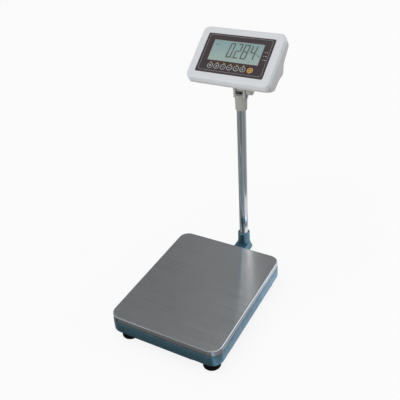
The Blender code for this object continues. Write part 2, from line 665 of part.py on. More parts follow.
def make_load_cell(parent):
    cell = block("load_cell", (-CELL_WIDTH / 2, -CELL_LENGTH / 2, CELL_BOTTOM),
                 (CELL_WIDTH / 2, CELL_LENGTH / 2, CELL_TOP), ALUMINIUM, parent)
    middle = (CELL_BOTTOM + CELL_TOP) / 2
    quarter_turn = (0, math.pi / 2, 0)
    eyes = rod("cell_eye_1", CELL_EYE, -CELL_WIDTH, CELL_WIDTH, None, parent,
               (0, -CELL_EYE_SPACING / 2, middle), quarter_turn)
    other_eye = rod("cell_eye_2", CELL_EYE, -CELL_WIDTH, CELL_WIDTH, None, parent,
                    (0, CELL_EYE_SPACING / 2, middle), quarter_turn)
    slot = block("cell_slot", (-CELL_WIDTH, -CELL_EYE_SPACING / 2, middle - CELL_SLOT / 2),
                 (CELL_WIDTH, CELL_EYE_SPACING / 2, middle + CELL_SLOT / 2), None, parent)
    cut(cell, eyes, other_eye, slot)
    for index, y in enumerate(cell_bolt_places(), 1):
        fixed_end = index <= 2
        low = CELL_BOTTOM - GAP if fixed_end else CELL_TOP - BOLT_GRIP - GAP
        high = CELL_BOTTOM + BOLT_GRIP + GAP if fixed_end else CELL_TOP + GAP
        cut(cell, rod(f"cell_thread_{index}", BOLT_RADIUS + SCREW_GAP, low, high, None, parent,
                      (0, y, 0.0), sides=16))
        if fixed_end:
            head_seat = FLOOR_UNDERSIDE + BOLT_HEAD_HEIGHT - GAP
            bolt(f"load_cell_bolt_{index}", BOLT_HEAD_RADIUS, BOLT_HEAD_HEIGHT - 2 * GAP,
                 BOLT_RADIUS, CELL_BOTTOM + BOLT_GRIP - head_seat, parent, (0, y, head_seat),
                 (math.pi, 0, 0))
        else:
            bolt(f"load_cell_bolt_{index}", BOLT_HEAD_RADIUS, BOLT_HEAD_HEIGHT, BOLT_RADIUS,
                 SUPPORT_TOP + GAP - CELL_TOP + BOLT_GRIP, parent, (0, y, SUPPORT_TOP + GAP))


def make_pan_support(parent):
    """Cast spider on the live end of the cell, with a rubber buffer under each pan corner."""
    half_hub = SUPPORT_HUB / 2
    support = block("pan_support", (-half_hub, -half_hub, SUPPORT_BOTTOM),
                    (half_hub, half_hub, SUPPORT_TOP), ALUMINIUM, parent, corner=0.010,
                    corner_steps=3)
    half_width = CELL_WIDTH / 2
    join(support, block("support_pad",
                        (-half_width, CELL_LENGTH / 2 - CELL_PAD_LENGTH, CELL_TOP + GAP),
                        (half_width, CELL_LENGTH / 2, SUPPORT_BOTTOM + SUPPORT_PLATE / 2),
                        None, parent))
    for index, (x, y) in enumerate(corners(BUFFER_X, BUFFER_Y), 1):
        reach = math.hypot(x, y)
        join(support, block(f"support_arm_{index}",
                            (-reach / 2, -SUPPORT_ARM_WIDTH / 2, GAP),
                            (reach / 2, SUPPORT_ARM_WIDTH / 2, SUPPORT_PLATE - GAP), None, parent,
                            origin=(x / 2, y / 2, SUPPORT_BOTTOM), turn=(0, 0, math.atan2(y, x))))
        join(support, rod(f"support_eye_{index}", SUPPORT_EYE_RADIUS, 0.0, SUPPORT_PLATE, None,
                          parent, (x, y, SUPPORT_BOTTOM), sides=20))
        cut(support, rod(f"buffer_hole_{index}", BUFFER_PLUG_RADIUS + GAP, -SUPPORT_PLATE,
                         2 * SUPPORT_PLATE, None, parent, (x, y, SUPPORT_BOTTOM), sides=16))
    for index, y in enumerate(cell_bolt_places()[2:], 3):
        cut(support, rod(f"support_bolt_hole_{index}", BOLT_RADIUS + SCREW_GAP, 0.0, PAN_TOP,
                         None, parent, (0, y, CELL_TOP - CELL_HEIGHT / 2), sides=16))
    buffer_height = PAN_UNDERSIDE - GAP - (SUPPORT_TOP + GAP)
    for index, (x, y) in enumerate(corners(BUFFER_X, BUFFER_Y), 1):
        turned(f"pan_buffer_{index}",
               [(0, buffer_height), (BUFFER_RADIUS, buffer_height), (BUFFER_RADIUS, 0),
                (BUFFER_PLUG_RADIUS, 0), (BUFFER_PLUG_RADIUS, -BUFFER_PLUG_LENGTH),
                (0, -BUFFER_PLUG_LENGTH)],
               RUBBER, parent, (x, y, SUPPORT_TOP + GAP), sides=16)


def make_spirit_level(parent):
    seat = FLOOR_TOP + LEVEL_BOSS_HEIGHT + GAP
    well = LEVEL_RADIUS - LEVEL_RIM
    well_floor = LEVEL_HEIGHT - VIAL_HEIGHT
    turned("bubble_level", [(0, well_floor), (well, well_floor), (well, LEVEL_HEIGHT),
                            (LEVEL_RADIUS, LEVEL_HEIGHT), (LEVEL_RADIUS, 0), (0, 0)],
           DARK_PLASTIC, parent, (0, LEVEL_Y, seat), sides=20)
    vial_radius = well - GAP
    turned("level_vial", [(0, VIAL_HEIGHT), (vial_radius / 2, VIAL_HEIGHT - 0.0003),
                          (vial_radius, VIAL_HEIGHT - 0.0012), (vial_radius, GAP), (0, GAP)],
           CLEAR_PLASTIC, parent, (0, LEVEL_Y, seat + well_floor), sides=20)


def make_column_bracket(parent):
    """Cast arm bolted under the base, with the socket that grips the column."""
    top_half = SOCKET_RADIUS - GAP
    arm = drafted("column_bracket",
                  arm_outline(top_half + ARM_DRAFT, ARM_CORNER + ARM_DRAFT),
                  arm_outline(top_half, ARM_CORNER),
                  ARM_BOTTOM, ARM_TOP, CAST_PAINT, parent)
    bore = TUBE_RADIUS + GAP
    flare_out = ARM_DRAFT * SOCKET_FLARE_FOOT / ARM_HEIGHT
    flare = bend((SOCKET_RADIUS, ARM_TOP + SOCKET_FLARE_HEIGHT), (SOCKET_RADIUS, ARM_TOP),
                 (SOCKET_RADIUS + flare_out, ARM_TOP - SOCKET_FLARE_FOOT), SOCKET_FLARE_STEPS)
    socket = turned("column_socket",
                    [(0, SOCKET_FLOOR), (bore, SOCKET_FLOOR), (bore, SOCKET_TOP),
                     (SOCKET_RADIUS - SOCKET_EDGE, SOCKET_TOP),
                     (SOCKET_RADIUS, SOCKET_TOP - SOCKET_EDGE), *flare,
                     (SOCKET_RADIUS + ARM_DRAFT, ARM_BOTTOM), (0, ARM_BOTTOM)],
                    None, parent, (0, COLUMN_Y, 0), sides=28)
    lower_grow = ARM_DRAFT - ARM_WALL
    hollow = drafted("arm_hollow",
                     arm_outline(top_half + lower_grow, ARM_CORNER + lower_grow),
                     arm_outline(top_half - ARM_WALL, ARM_CORNER - ARM_WALL),
                     ARM_BOTTOM - GAP, ARM_TOP - ARM_WALL, None, parent)
    round_hollow = rod("arm_round_hollow", SOCKET_RADIUS + lower_grow, ARM_BOTTOM - 2 * GAP,
                       ARM_TOP - ARM_WALL - GAP, None, parent, (0, COLUMN_Y, 0), sides=28,
                       top_radius=SOCKET_RADIUS - ARM_WALL)
    cable_way = rod("cable_way", CABLE_HOLE, 0.0, TUBE_TOP, None, parent, (0, COLUMN_Y, 0),
                    sides=16)
    join(arm, socket)
    cut(arm, hollow, round_hollow, cable_way)
    for index, y in enumerate(arm_bolt_places(), 1):
        cut(arm, rod(f"arm_bolt_hole_{index}", ARM_BOLT_RADIUS + SCREW_GAP, 0.0, PAN_TOP, None,
                     parent, (0, y, 0), sides=16))
        seat = ARM_TOP - ARM_WALL - GAP
        bolt(f"bracket_bolt_{index}", ARM_BOLT_HEAD, ARM_BOLT_HEAD_HEIGHT, ARM_BOLT_RADIUS,
             FLOOR_TOP + ARM_BOSS_HEIGHT - seat - GAP, parent, (0, y, seat), (math.pi, 0, 0))
    for index, height in enumerate(COLUMN_SCREW_HEIGHTS, 1):
        rearward = (-math.pi / 2, 0, 0)
        cut(arm, rod(f"column_screw_hole_{index}", COLUMN_SCREW_RADIUS + SCREW_GAP, 0.0,
                     2 * SOCKET_RADIUS, None, parent, (0, COLUMN_Y, height), rearward, sides=16))
        bolt(f"column_screw_{index}", COLUMN_SCREW_HEAD, COLUMN_SCREW_HEAD_HEIGHT,
             COLUMN_SCREW_RADIUS, SOCKET_WALL, parent,
             (0, COLUMN_Y + SOCKET_RADIUS + GAP, height), rearward)
    inner = TUBE_RADIUS - TUBE_WALL
    turned("column_tube", [(inner, TUBE_TOP), (TUBE_RADIUS, TUBE_TOP), (TUBE_RADIUS, TUBE_BOTTOM),
                           (inner, TUBE_BOTTOM)],
           POLISHED_STEEL, parent, (0, COLUMN_Y, 0), sides=32, closed=True)
    return arm


def make_column_head(head):
    """Plastic sleeve that turns on the column, with a fork for the tilt hinge on top."""
    crown = FORK_BASE - FORK_FLOOR / 2
    sleeve = turned("column_head",
                    [(0, crown), (SLEEVE_TOP_RADIUS, crown), (SLEEVE_TOP_RADIUS, SLEEVE_TOP),
                     (SLEEVE_BOTTOM_RADIUS, SLEEVE_BOTTOM), (0, SLEEVE_BOTTOM)],
                    GREY_PLASTIC, head, sides=28)
    half_width, half_depth = FORK_WIDTH / 2, FORK_DEPTH / 2
    fork = block("fork_block", (-half_width, -half_depth, SLEEVE_TOP - GAP),
                 (half_width, half_depth, HINGE_HEIGHT), None, head, corner=HEAD_EDGE,
                 corner_steps=2)
    along_x = (0, math.pi / 2, 0)
    rounded_top = rod("fork_top", half_depth, -half_width, half_width, None, head,
                      (0, 0, HINGE_HEIGHT), along_x, sides=28)
    slot = block("fork_slot", (-FORK_INSIDE, -FORK_DEPTH, FORK_BASE),
                 (FORK_INSIDE, FORK_DEPTH, HINGE_HEIGHT + FORK_DEPTH), None, head)
    bore = rod("sleeve_bore", TUBE_RADIUS + GAP, 0.0, TUBE_TOP + GAP, None, head, sides=28)
    cable_way = rod("head_cable_way", CABLE_HOLE, SLEEVE_BOTTOM, HINGE_HEIGHT, None, head,
                    sides=16)
    hinge_hole = rod("fork_hole", TILT_BOLT_RADIUS + SCREW_GAP, -FORK_WIDTH, FORK_WIDTH, None,
                     head, (0, 0, HINGE_HEIGHT), along_x, sides=16)
    screw_height = TUBE_TOP - SWIVEL_SCREW_DROP
    screw_hole = rod("swivel_screw_hole", SWIVEL_SCREW_RADIUS + SCREW_GAP, 0.0, FORK_WIDTH, None,
                     head, (0, 0, screw_height), along_x, sides=12)
    join(sleeve, fork, rounded_top)
    cut(sleeve, slot, bore, cable_way, hinge_hole, screw_hole)
    screw_seat = SLEEVE_TOP_RADIUS + GAP
    bolt("swivel_screw", SWIVEL_SCREW_HEAD, SWIVEL_SCREW_HEAD_HEIGHT, SWIVEL_SCREW_RADIUS,
         screw_seat - TUBE_RADIUS - GAP, head, (screw_seat, 0, screw_height), along_x,
         sides=12)
    bolt("tilt_bolt", TILT_BOLT_HEAD_RADIUS, TILT_BOLT_HEAD_HEIGHT, TILT_BOLT_RADIUS,
         FORK_WIDTH + WASHER_THICKNESS + KNOB_LENGTH - 3 * KNOB_EDGE, head,
         (-half_width - GAP, 0, HINGE_HEIGHT), (0, -math.pi / 2, 0))
    bore_radius = TILT_BOLT_RADIUS + GAP
    turned("tilt_washer", [(bore_radius, WASHER_THICKNESS), (WASHER_RADIUS, WASHER_THICKNESS),
                           (WASHER_RADIUS, 0), (bore_radius, 0)],
           DARK_PLASTIC, head, (half_width + GAP, 0, HINGE_HEIGHT), along_x, sides=20, closed=True)
    return sleeve


def make_tilt_knob(head):
    """Fluted clamp knob on the right end of the tilt bolt; its origin is on the bolt's axis."""
    seat = FORK_WIDTH / 2 + WASHER_THICKNESS + 2 * GAP
    bore_radius = TILT_BOLT_RADIUS + GAP
    bore_end = KNOB_LENGTH - 2 * KNOB_EDGE
    along_x = (0, math.pi / 2, 0)
    knob = turned("tilt_knob",
                  [(0, KNOB_LENGTH), (KNOB_RADIUS - 2 * KNOB_EDGE, KNOB_LENGTH),
                   (KNOB_RADIUS, KNOB_LENGTH - KNOB_EDGE), (KNOB_RADIUS, KNOB_EDGE),
                   (KNOB_RADIUS - KNOB_EDGE, 0), (bore_radius, 0), (bore_radius, bore_end),
                   (0, bore_end)],
                  GREY_PLASTIC, head, (seat, 0, HINGE_HEIGHT), along_x, sides=32)
    circle = KNOB_RADIUS + KNOB_FLUTE_RADIUS - KNOB_FLUTE_DEPTH
    for index in range(KNOB_FLUTES):
        angle = 2 * math.pi * (index + 0.5) / KNOB_FLUTES
        cut(knob, rod(f"knob_flute_{index + 1}", KNOB_FLUTE_RADIUS, -KNOB_LENGTH,
                      2 * KNOB_LENGTH, None, knob,
                      (circle * math.cos(angle), circle * math.sin(angle), 0), sides=12))
    return knob


def profile_point(index):
    """A corner of the housing's back, as seen from the side, counted from the tilt hinge."""
    up, depth = REAR_PROFILE[index]
    return Vector((FACE_UP_FROM_HINGE + up, FACE_ABOVE_HINGE - depth))


def on_back(start, end, share=0.5):
    """A place on one side of the back's profile: its point, direction and outward normal."""
    first, last = profile_point(start), profile_point(end)
    along = (last - first).normalized()
    return first.lerp(last, share), along, Vector((along.y, -along.x))


def face(x, y, back=0.0):
    """A place on the indicator's face, given from the overlay's middle and behind the face."""
    return Vector((x, FACE_UP_FROM_HINGE + y, FACE_ABOVE_HINGE - back))


def rounded_plan(shrink, steps):
    """The housing's outline from the front, moved inwards by a distance."""
    corner = HOUSING_CORNER - shrink
    side = HOUSING_WIDTH / 2 - shrink - corner
    high = FACE_UP_FROM_HINGE + HOUSING_TOP - shrink - corner
    low = FACE_UP_FROM_HINGE - HOUSING_BOTTOM + shrink + corner
    return (arc((side, high), corner, 0, 90, steps) + arc((-side, high), corner, 90, 180, steps)
            + arc((-side, low), corner, 180, 270, steps) + arc((side, low), corner, 270, 360, steps))


def stacked(name, levels, steps, material=None, parent=None):
    """A solid through the housing's outline at several (distance inwards, height) levels."""
    bm = bmesh.new()
    rings = [[bm.verts.new((x, y, height)) for x, y in rounded_plan(shrink, steps)]
             for shrink, height in levels]
    bm.faces.new(rings[0][::-1])
    bm.faces.new(rings[-1])
    for lower, upper in zip(rings, rings[1:]):
        for index in range(len(lower)):
            bm.faces.new((lower[index - 1], lower[index], upper[index], upper[index - 1]))
    return put_in_scene(name, mesh_from(bm, name, True), material, parent)


def make_front_bezel(indicator):
    """Drafted frame with a rounded front edge, open at the back."""
    front = FACE_ABOVE_HINGE
    edge = [(shrink + HOUSING_DRAFT, front - BEZEL_EDGE + rise)
            for shrink, rise in arc((BEZEL_EDGE, 0), BEZEL_EDGE, 180, 90, 4)]
    bezel = stacked("front_bezel", [(0.0, front - BEZEL_DEPTH)] + edge, 8, WHITE_PLASTIC,
                    indicator)
    back_wall = OVERLAY_RECESS + BEZEL_FRONT_WALL
    inside = stacked("bezel_inside",
                     [(HOUSING_WALL, front - 2 * BEZEL_DEPTH),
                      (HOUSING_WALL, front - BEZEL_DEPTH),
                      (HOUSING_WALL + HOUSING_DRAFT, front - back_wall)], 6, None, indicator)
    recess = block("overlay_recess",
                   face(-OVERLAY_WIDTH / 2, -OVERLAY_HEIGHT / 2, OVERLAY_RECESS),
                   face(OVERLAY_WIDTH / 2, OVERLAY_HEIGHT / 2, -BEZEL_DEPTH), None, indicator,
                   corner=OVERLAY_CORNER, corner_steps=3)
    window = block("lcd_window", face(LCD_X - LCD_WIDTH / 2, LCD_Y - LCD_HEIGHT / 2, BEZEL_DEPTH),
                   face(LCD_X + LCD_WIDTH / 2, LCD_Y + LCD_HEIGHT / 2, -BEZEL_DEPTH), None,
                   indicator)
    cut(bezel, inside, recess, window)
    for index, (x, y) in enumerate([(-POST_X, POST_TOP_Y), (POST_X, POST_TOP_Y),
                                    (POST_X, POST_BOTTOM_Y), (-POST_X, POST_BOTTOM_Y)], 1):
        join(bezel, rod(f"board_post_{index}", POST_RADIUS, -(BOARD_BACK - GAP),
                        -(OVERLAY_RECESS + GAP), None, indicator, face(x, y), sides=12))
    for index, (x, y) in enumerate(HOUSING_SCREW_PLACES, 1):
        join(bezel, rod(f"screw_boss_{index}", SCREW_BOSS_RADIUS, -(BOSS_END - GAP),
                        -(back_wall - GAP), None, indicator, face(x, y), sides=16))
        cut(bezel, rod(f"screw_pilot_{index}", HOUSING_SCREW_RADIUS + SCREW_GAP, -BOSS_END,
                       HOUSING_SCREW_GRIP - BOSS_END + GAP, None, indicator, face(x, y),
                       sides=12))
    cut_keypad_holes(bezel, indicator, "bezel")
    return bezel


def cut_keypad_holes(target, indicator, label):
    """Openings for the keys and the lamps, cut right through."""
    for index, x in enumerate(KEY_XS + [POWER_KEY_X], 1):
        cut(target, rod(f"{label}_key_hole_{index}", KEY_RADIUS + GAP, -BEZEL_DEPTH, BEZEL_DEPTH,
                        None, indicator, face(x, KEY_Y), sides=16))
    for index, y in enumerate(LED_YS, 1):
        cut(target, rod(f"{label}_led_hole_{index}", LED_RADIUS + GAP, -BEZEL_DEPTH, BEZEL_DEPTH,
                        None, indicator, face(LED_X, y), sides=12))


def make_overlay(indicator):
    half_width, half_height = OVERLAY_WIDTH / 2 - GAP, OVERLAY_HEIGHT / 2 - GAP
    back = OVERLAY_RECESS - GAP
    film = block("display_overlay", face(-half_width, -half_height, back),
                 face(half_width, half_height, back - OVERLAY_THICKNESS), OVERLAY_FILM, indicator,
                 corner=OVERLAY_CORNER - GAP, corner_steps=3)
    window = block("overlay_window",
                   face(LCD_X - LCD_WIDTH / 2, LCD_Y - LCD_HEIGHT / 2, BEZEL_DEPTH),
                   face(LCD_X + LCD_WIDTH / 2, LCD_Y + LCD_HEIGHT / 2, -BEZEL_DEPTH), None,
                   indicator)
    cut(film, window)
    cut_keypad_holes(film, indicator, "overlay")
    return film


def make_keys(indicator):
    """Domed keys in the overlay; each pushes a switch on the board through its stem."""
    stem_end = -(BOARD_BACK - SWITCH_HEIGHT - KEY_TRAVEL - GAP)
    names = [f"key_{number}" for number in range(1, KEY_COUNT + 1)] + ["power_key"]
    for name, x in zip(names, KEY_XS + [POWER_KEY_X]):
        crown = -KEY_BACK
        turned(name, [(0, crown), (KEY_RADIUS * 0.75, crown - 0.0001),
                      (KEY_RADIUS, crown - 0.0004), (KEY_RADIUS, crown - KEY_THICKNESS),
                      (KEY_STEM_RADIUS, crown - KEY_THICKNESS), (KEY_STEM_RADIUS, stem_end),
                      (0, stem_end)],
               ORANGE_FILM if name == "power_key" else KEY_FILM, indicator, face(x, KEY_Y),
               sides=16)


def make_lamps(indicator):
    for index, y in enumerate(LED_YS, 1):
        turned(f"status_lamp_{index}",
               [(0, -LED_BACK), (LED_RADIUS * 0.7, -LED_BACK - LED_RADIUS * 0.3),
                (LED_RADIUS, -LED_BACK - LED_RADIUS), (LED_RADIUS, -(BOARD_BACK - GAP)),
                (0, -(BOARD_BACK - GAP))],
               GREEN_LENS, indicator, face(LED_X, y), sides=12)


def make_display(indicator):
    half_width, half_height = LCD_WIDTH / 2 - GAP, LCD_HEIGHT / 2 - GAP
    block("lcd_glass", face(LCD_X - half_width, LCD_Y - half_height, LCD_BACK + LCD_GLASS),
          face(LCD_X + half_width, LCD_Y + half_height, LCD_BACK), LCD_FILM, indicator)
    holder_back = BOARD_BACK - GAP
    holder_front = LCD_BACK + LCD_GLASS + GAP
    grow = LCD_HOLDER_MARGIN
    block("lcd_holder", face(LCD_X - half_width - grow, LCD_Y - half_height - grow, holder_back),
          face(LCD_X + half_width + grow, LCD_Y + half_height + grow, holder_front),
          DARK_PLASTIC, indicator, corner=0.002, corner_steps=2)


def make_circuit_board(indicator):
    half_width, half_height = BOARD_WIDTH / 2, BOARD_HEIGHT / 2
    board = block("circuit_board", face(-half_width, -half_height, BOARD_BACK + BOARD_THICKNESS),
                  face(half_width, half_height, BOARD_BACK), BOARD_GREEN, indicator)
    for index, x in enumerate(KEY_XS + [POWER_KEY_X], 1):
        half = SWITCH_SIZE / 2
        join(board, block(f"key_switch_{index}",
                          face(x - half, KEY_Y - half, BOARD_BACK + BOARD_THICKNESS / 2),
                          face(x + half, KEY_Y + half, BOARD_BACK - SWITCH_HEIGHT), None,
                          indicator))
    return board


def make_battery(indicator):
    half = BATTERY_WIDTH / 2
    block("battery_pack",
          face(-half, BATTERY_Y - BATTERY_HEIGHT / 2, BATTERY_BACK + BATTERY_THICKNESS),
          face(half, BATTERY_Y + BATTERY_HEIGHT / 2, BATTERY_BACK), BATTERY_CASE, indicator,
          corner=0.004, corner_steps=2)


def back_form(name, indicator, shrink, front, material=None):
    """The rear shell's outer or inner form: its outline from the front, cut by its side profile."""
    half_width = HOUSING_WIDTH / 2 - HOUSING_INSET - shrink
    deepest = max(depth for _, depth in REAR_PROFILE)
    form = block(name, face(-half_width, -HOUSING_BOTTOM + HOUSING_INSET + shrink, deepest),
                 face(half_width, HOUSING_TOP - HOUSING_INSET - shrink, front), material,
                 indicator, corner=HOUSING_CORNER - HOUSING_INSET - shrink, corner_steps=6)
    profile = [tuple(profile_point(index)) for index in range(len(REAR_PROFILE))]
    if shrink > 0:
        profile = inset(profile, shrink)
    outline = rounded(profile, REAR_EDGE - min(shrink, REAR_EDGE / 2), 3)
    side = side_prism(name + "_profile", outline, HOUSING_WIDTH, None, indicator)
    boolean(form, side, "INTERSECT")
    return form


def make_rear_shell(indicator):
    parting = BEZEL_DEPTH + GAP
    shell = back_form("rear_shell", indicator, 0.0, parting, SHELL_PLASTIC)
    inside = back_form("shell_inside", indicator, HOUSING_WALL, parting - HOUSING_WALL)
    keep_screw_wells(inside, indicator)
    cut(shell, inside)
    bore_screw_wells(shell, indicator)
    add_bracket_pad(shell, indicator)
    add_battery_cradle(shell, indicator)
    cut_back_sockets(shell, indicator)
    return shell


def keep_screw_wells(inside, indicator):
    """Leave a column of plastic in each corner of the hollow, from the bezel's boss to the back."""
    deepest = max(depth for _, depth in REAR_PROFILE)
    for index, (x, y) in enumerate(HOUSING_SCREW_PLACES, 1):
        cut(inside, rod(f"screw_well_{index}", WELL_RADIUS, -2 * deepest, -BOSS_END, None,
                        indicator, face(x, y), sides=16))


def bore_screw_wells(shell, indicator):
    """Bore each column for the screw's head from the back, and for its shank from the front."""
    deepest = max(depth for _, depth in REAR_PROFILE)
    seat = BOSS_END + WELL_FLOOR
    for index, (x, y) in enumerate(HOUSING_SCREW_PLACES, 1):
        cut(shell, rod(f"well_bore_{index}", WELL_BORE, -2 * deepest, -seat, None, indicator,
                       face(x, y), sides=16),
            rod(f"well_hole_{index}", HOUSING_SCREW_RADIUS + SCREW_GAP, -seat - GAP,
                -BOSS_END + GAP, None, indicator, face(x, y), sides=12))
        bolt(f"housing_screw_{index}", HOUSING_SCREW_HEAD, HOUSING_SCREW_HEAD_HEIGHT,
             HOUSING_SCREW_RADIUS, HOUSING_SCREW_GRIP + WELL_FLOOR, indicator,
             face(x, y, seat + GAP), (math.pi, 0, 0), sides=12)


def flange_frame():
    """Middle of the hump's underside, the direction along it and the way out of it."""
    middle, along, outward = on_back(HUMP_REAR, HUMP_FRONT)
    if outward.dot(middle) > 0:
        outward = -outward
    return middle, along, outward


def tilted_block(name, middle, outward, half_width, half_length, low, high, indicator,
                 material=None):
    """A plate square to the hump's underside, between two distances out from it."""
    turn = math.atan2(outward.y, outward.x) - math.pi / 2
    return block(name, (-half_width, -half_length, low), (half_width, half_length, high),
                 material, indicator, origin=(0, middle.x, middle.y), turn=(turn, 0, 0))


def add_bracket_pad(shell, indicator):
    middle, _, outward = flange_frame()
    join(shell, tilted_block("bracket_pad", middle, outward, FLANGE_WIDTH / 2 + HOUSING_WALL,
                             FLANGE_LENGTH / 2 - GAP, -SHELL_PAD, -HOUSING_WALL / 2, indicator))


def add_battery_cradle(shell, indicator):
    """Two ribs in the hump that the battery lies on."""
    half = CRADLE_THICKNESS / 2
    back = BATTERY_BACK + BATTERY_THICKNESS + GAP
    for index, x in enumerate((-CRADLE_X, CRADLE_X), 1):
        join(shell, block(f"battery_rib_{index}", face(x - half, CRADLE_FRONT_Y, CRADLE_BACK),
                          face(x + half, CRADLE_REAR_Y, back), None, indicator))


def back_wall_turn(outward):
    """Rotation that stands a rod's Z axis along a direction in the YZ plane."""
    return (-math.atan2(outward.x, outward.y), 0, 0)


def cut_back_sockets(shell, indicator):
    middle, _, outward = rear_wall()
    for label, x, radius in (("gland", GLAND_X, GLAND_RADIUS * 0.75),
                             ("inlet", INLET_X, INLET_RADIUS * 0.75)):
        cut(shell, rod(f"{label}_hole", radius + GAP, -3 * HOUSING_WALL, 3 * HOUSING_WALL, None,
                       indicator, (x, middle.x, middle.y), back_wall_turn(outward), sides=16))


def rear_wall():
    middle, along, outward = on_back(HUMP_REAR - 1, HUMP_REAR)
    if outward.x < 0:
        outward = -outward
    return middle, along, outward


def make_back_fittings(indicator):
    middle, _, outward = rear_wall()
    turn = back_wall_turn(outward)
    neck = GLAND_RADIUS * 0.75
    turned("cable_gland",
           [(neck * 0.5, GLAND_LENGTH), (neck, GLAND_LENGTH), (GLAND_RADIUS, GLAND_LENGTH * 0.7),
            (GLAND_RADIUS, GAP), (neck, GAP), (neck, -2 * HOUSING_WALL),
            (neck * 0.5, -2 * HOUSING_WALL)],
           DARK_PLASTIC, indicator, (GLAND_X, middle.x, middle.y), turn, sides=16, closed=True)
    neck = INLET_RADIUS * 0.75
    turned("power_inlet",
           [(INLET_BORE, INLET_LENGTH), (INLET_RADIUS, INLET_LENGTH), (INLET_RADIUS, GAP),
            (neck, GAP), (neck, -3 * HOUSING_WALL), (0, -3 * HOUSING_WALL),
            (0, -2 * HOUSING_WALL), (INLET_BORE, -2 * HOUSING_WALL)],
           DARK_PLASTIC, indicator, (INLET_X, middle.x, middle.y), turn, sides=16, closed=True)


def make_tilt_bracket(indicator):
    """Moulded lug between the fork's cheeks, with a flange screwed under the housing's hump."""
    half_lug = FORK_INSIDE - LUG_SIDE_GAP
    middle, along, outward = flange_frame()
    bracket = rod("tilt_bracket", LUG_RADIUS, -half_lug, half_lug, GREY_PLASTIC, indicator,
                  turn=(0, math.pi / 2, 0), sides=24)
    foot = middle + outward * (GAP + FLANGE_THICKNESS / 2)
    half_foot = NECK_FOOT / 2
    side = Vector((-foot.y, foot.x)).normalized() * LUG_RADIUS
    outline = [tuple(side), tuple(foot + along * half_foot * math.copysign(1, along.dot(side))),
               tuple(foot - along * half_foot * math.copysign(1, along.dot(side))), tuple(-side)]
    neck = side_prism("bracket_neck", outline, half_lug - GAP, None, indicator)
    flange = tilted_block("bracket_flange", middle, outward, FLANGE_WIDTH / 2, FLANGE_LENGTH / 2,
                          GAP, GAP + FLANGE_THICKNESS, indicator)
    join(bracket, neck, flange)
    cut(bracket, rod("lug_hole", TILT_BOLT_RADIUS + SCREW_GAP, -FORK_WIDTH, FORK_WIDTH, None,
                     indicator, turn=(0, math.pi / 2, 0), sides=16))
    turn = back_wall_turn(outward)
    seat = 2 * GAP + FLANGE_THICKNESS
    shell = bpy.data.objects["rear_shell"]
    for index, x in enumerate((-FLANGE_SCREW_X, FLANGE_SCREW_X), 1):
        place = (x, middle.x, middle.y)
        hole = rod(f"flange_screw_hole_{index}", FLANGE_SCREW_RADIUS + SCREW_GAP,
                   -(FLANGE_SCREW_GRIP + GAP), 4 * FLANGE_THICKNESS, None, indicator, place,
                   turn, sides=12)
        cut(bracket, hole)
        cut(shell, hole)
        seat_place = Vector(place) + Vector((0, outward.x, outward.y)) * seat
        bolt(f"flange_screw_{index}", FLANGE_SCREW_HEAD, FLANGE_SCREW_HEAD_HEIGHT,
             FLANGE_SCREW_RADIUS, FLANGE_SCREW_GRIP + seat, indicator, seat_place, turn, sides=12)
    return bracket


def stand_over_origin(root):
    """Move the whole scale so that the box round it stands centred on the origin."""
    bpy.context.view_layer.update()
    depsgraph = bpy.context.evaluated_depsgraph_get()
    points = []
    for item in SCALE.objects:
        if item.type == "MESH":
            solid = item.evaluated_get(depsgraph)
            points += [solid.matrix_world @ vertex.co for vertex in solid.data.vertices]
    low_y, high_y = min(p.y for p in points), max(p.y for p in points)
    root.location.y = -(low_y + high_y) / 2


def make_scale():
    root = empty("platform_scale_root")
    make_base(root)
    for index, (x, y) in enumerate(corners(FOOT_X, FOOT_Y), 1):
        make_foot(index, x, y, root)
    make_load_cell(root)
    make_pan_support(root)
    make_spirit_level(root)
    make_pan(root)
    make_column_bracket(root)
    head = empty("head_swivel", (0, COLUMN_Y, 0), parent=root)
    make_column_head(head)
    make_tilt_knob(head)
    indicator = empty("indicator_tilt", (0, 0, HINGE_HEIGHT), (FACE_LEAN, 0, 0), head)
    make_front_bezel(indicator)
    make_rear_shell(indicator)
    make_overlay(indicator)
    make_keys(indicator)
    make_lamps(indicator)
    make_display(indicator)
    make_circuit_board(indicator)
    make_battery(indicator)
    make_back_fittings(indicator)
    make_tilt_bracket(indicator)
    stand_over_origin(root)


make_scale()
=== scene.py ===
# %% [markdown]
# A bench platform scale, dressed for its portrait. The real one is a brushed stainless pan on a
# hammer-painted casting, with a plated column behind it that holds a moulded indicator. The
# measured model is loaded first and is never moved: everything below is placed from it. One helper
# puts each new object in the scene.
# %% Load the measured model
import json
import math

import bmesh
import bpy
from mathutils import Matrix, Vector


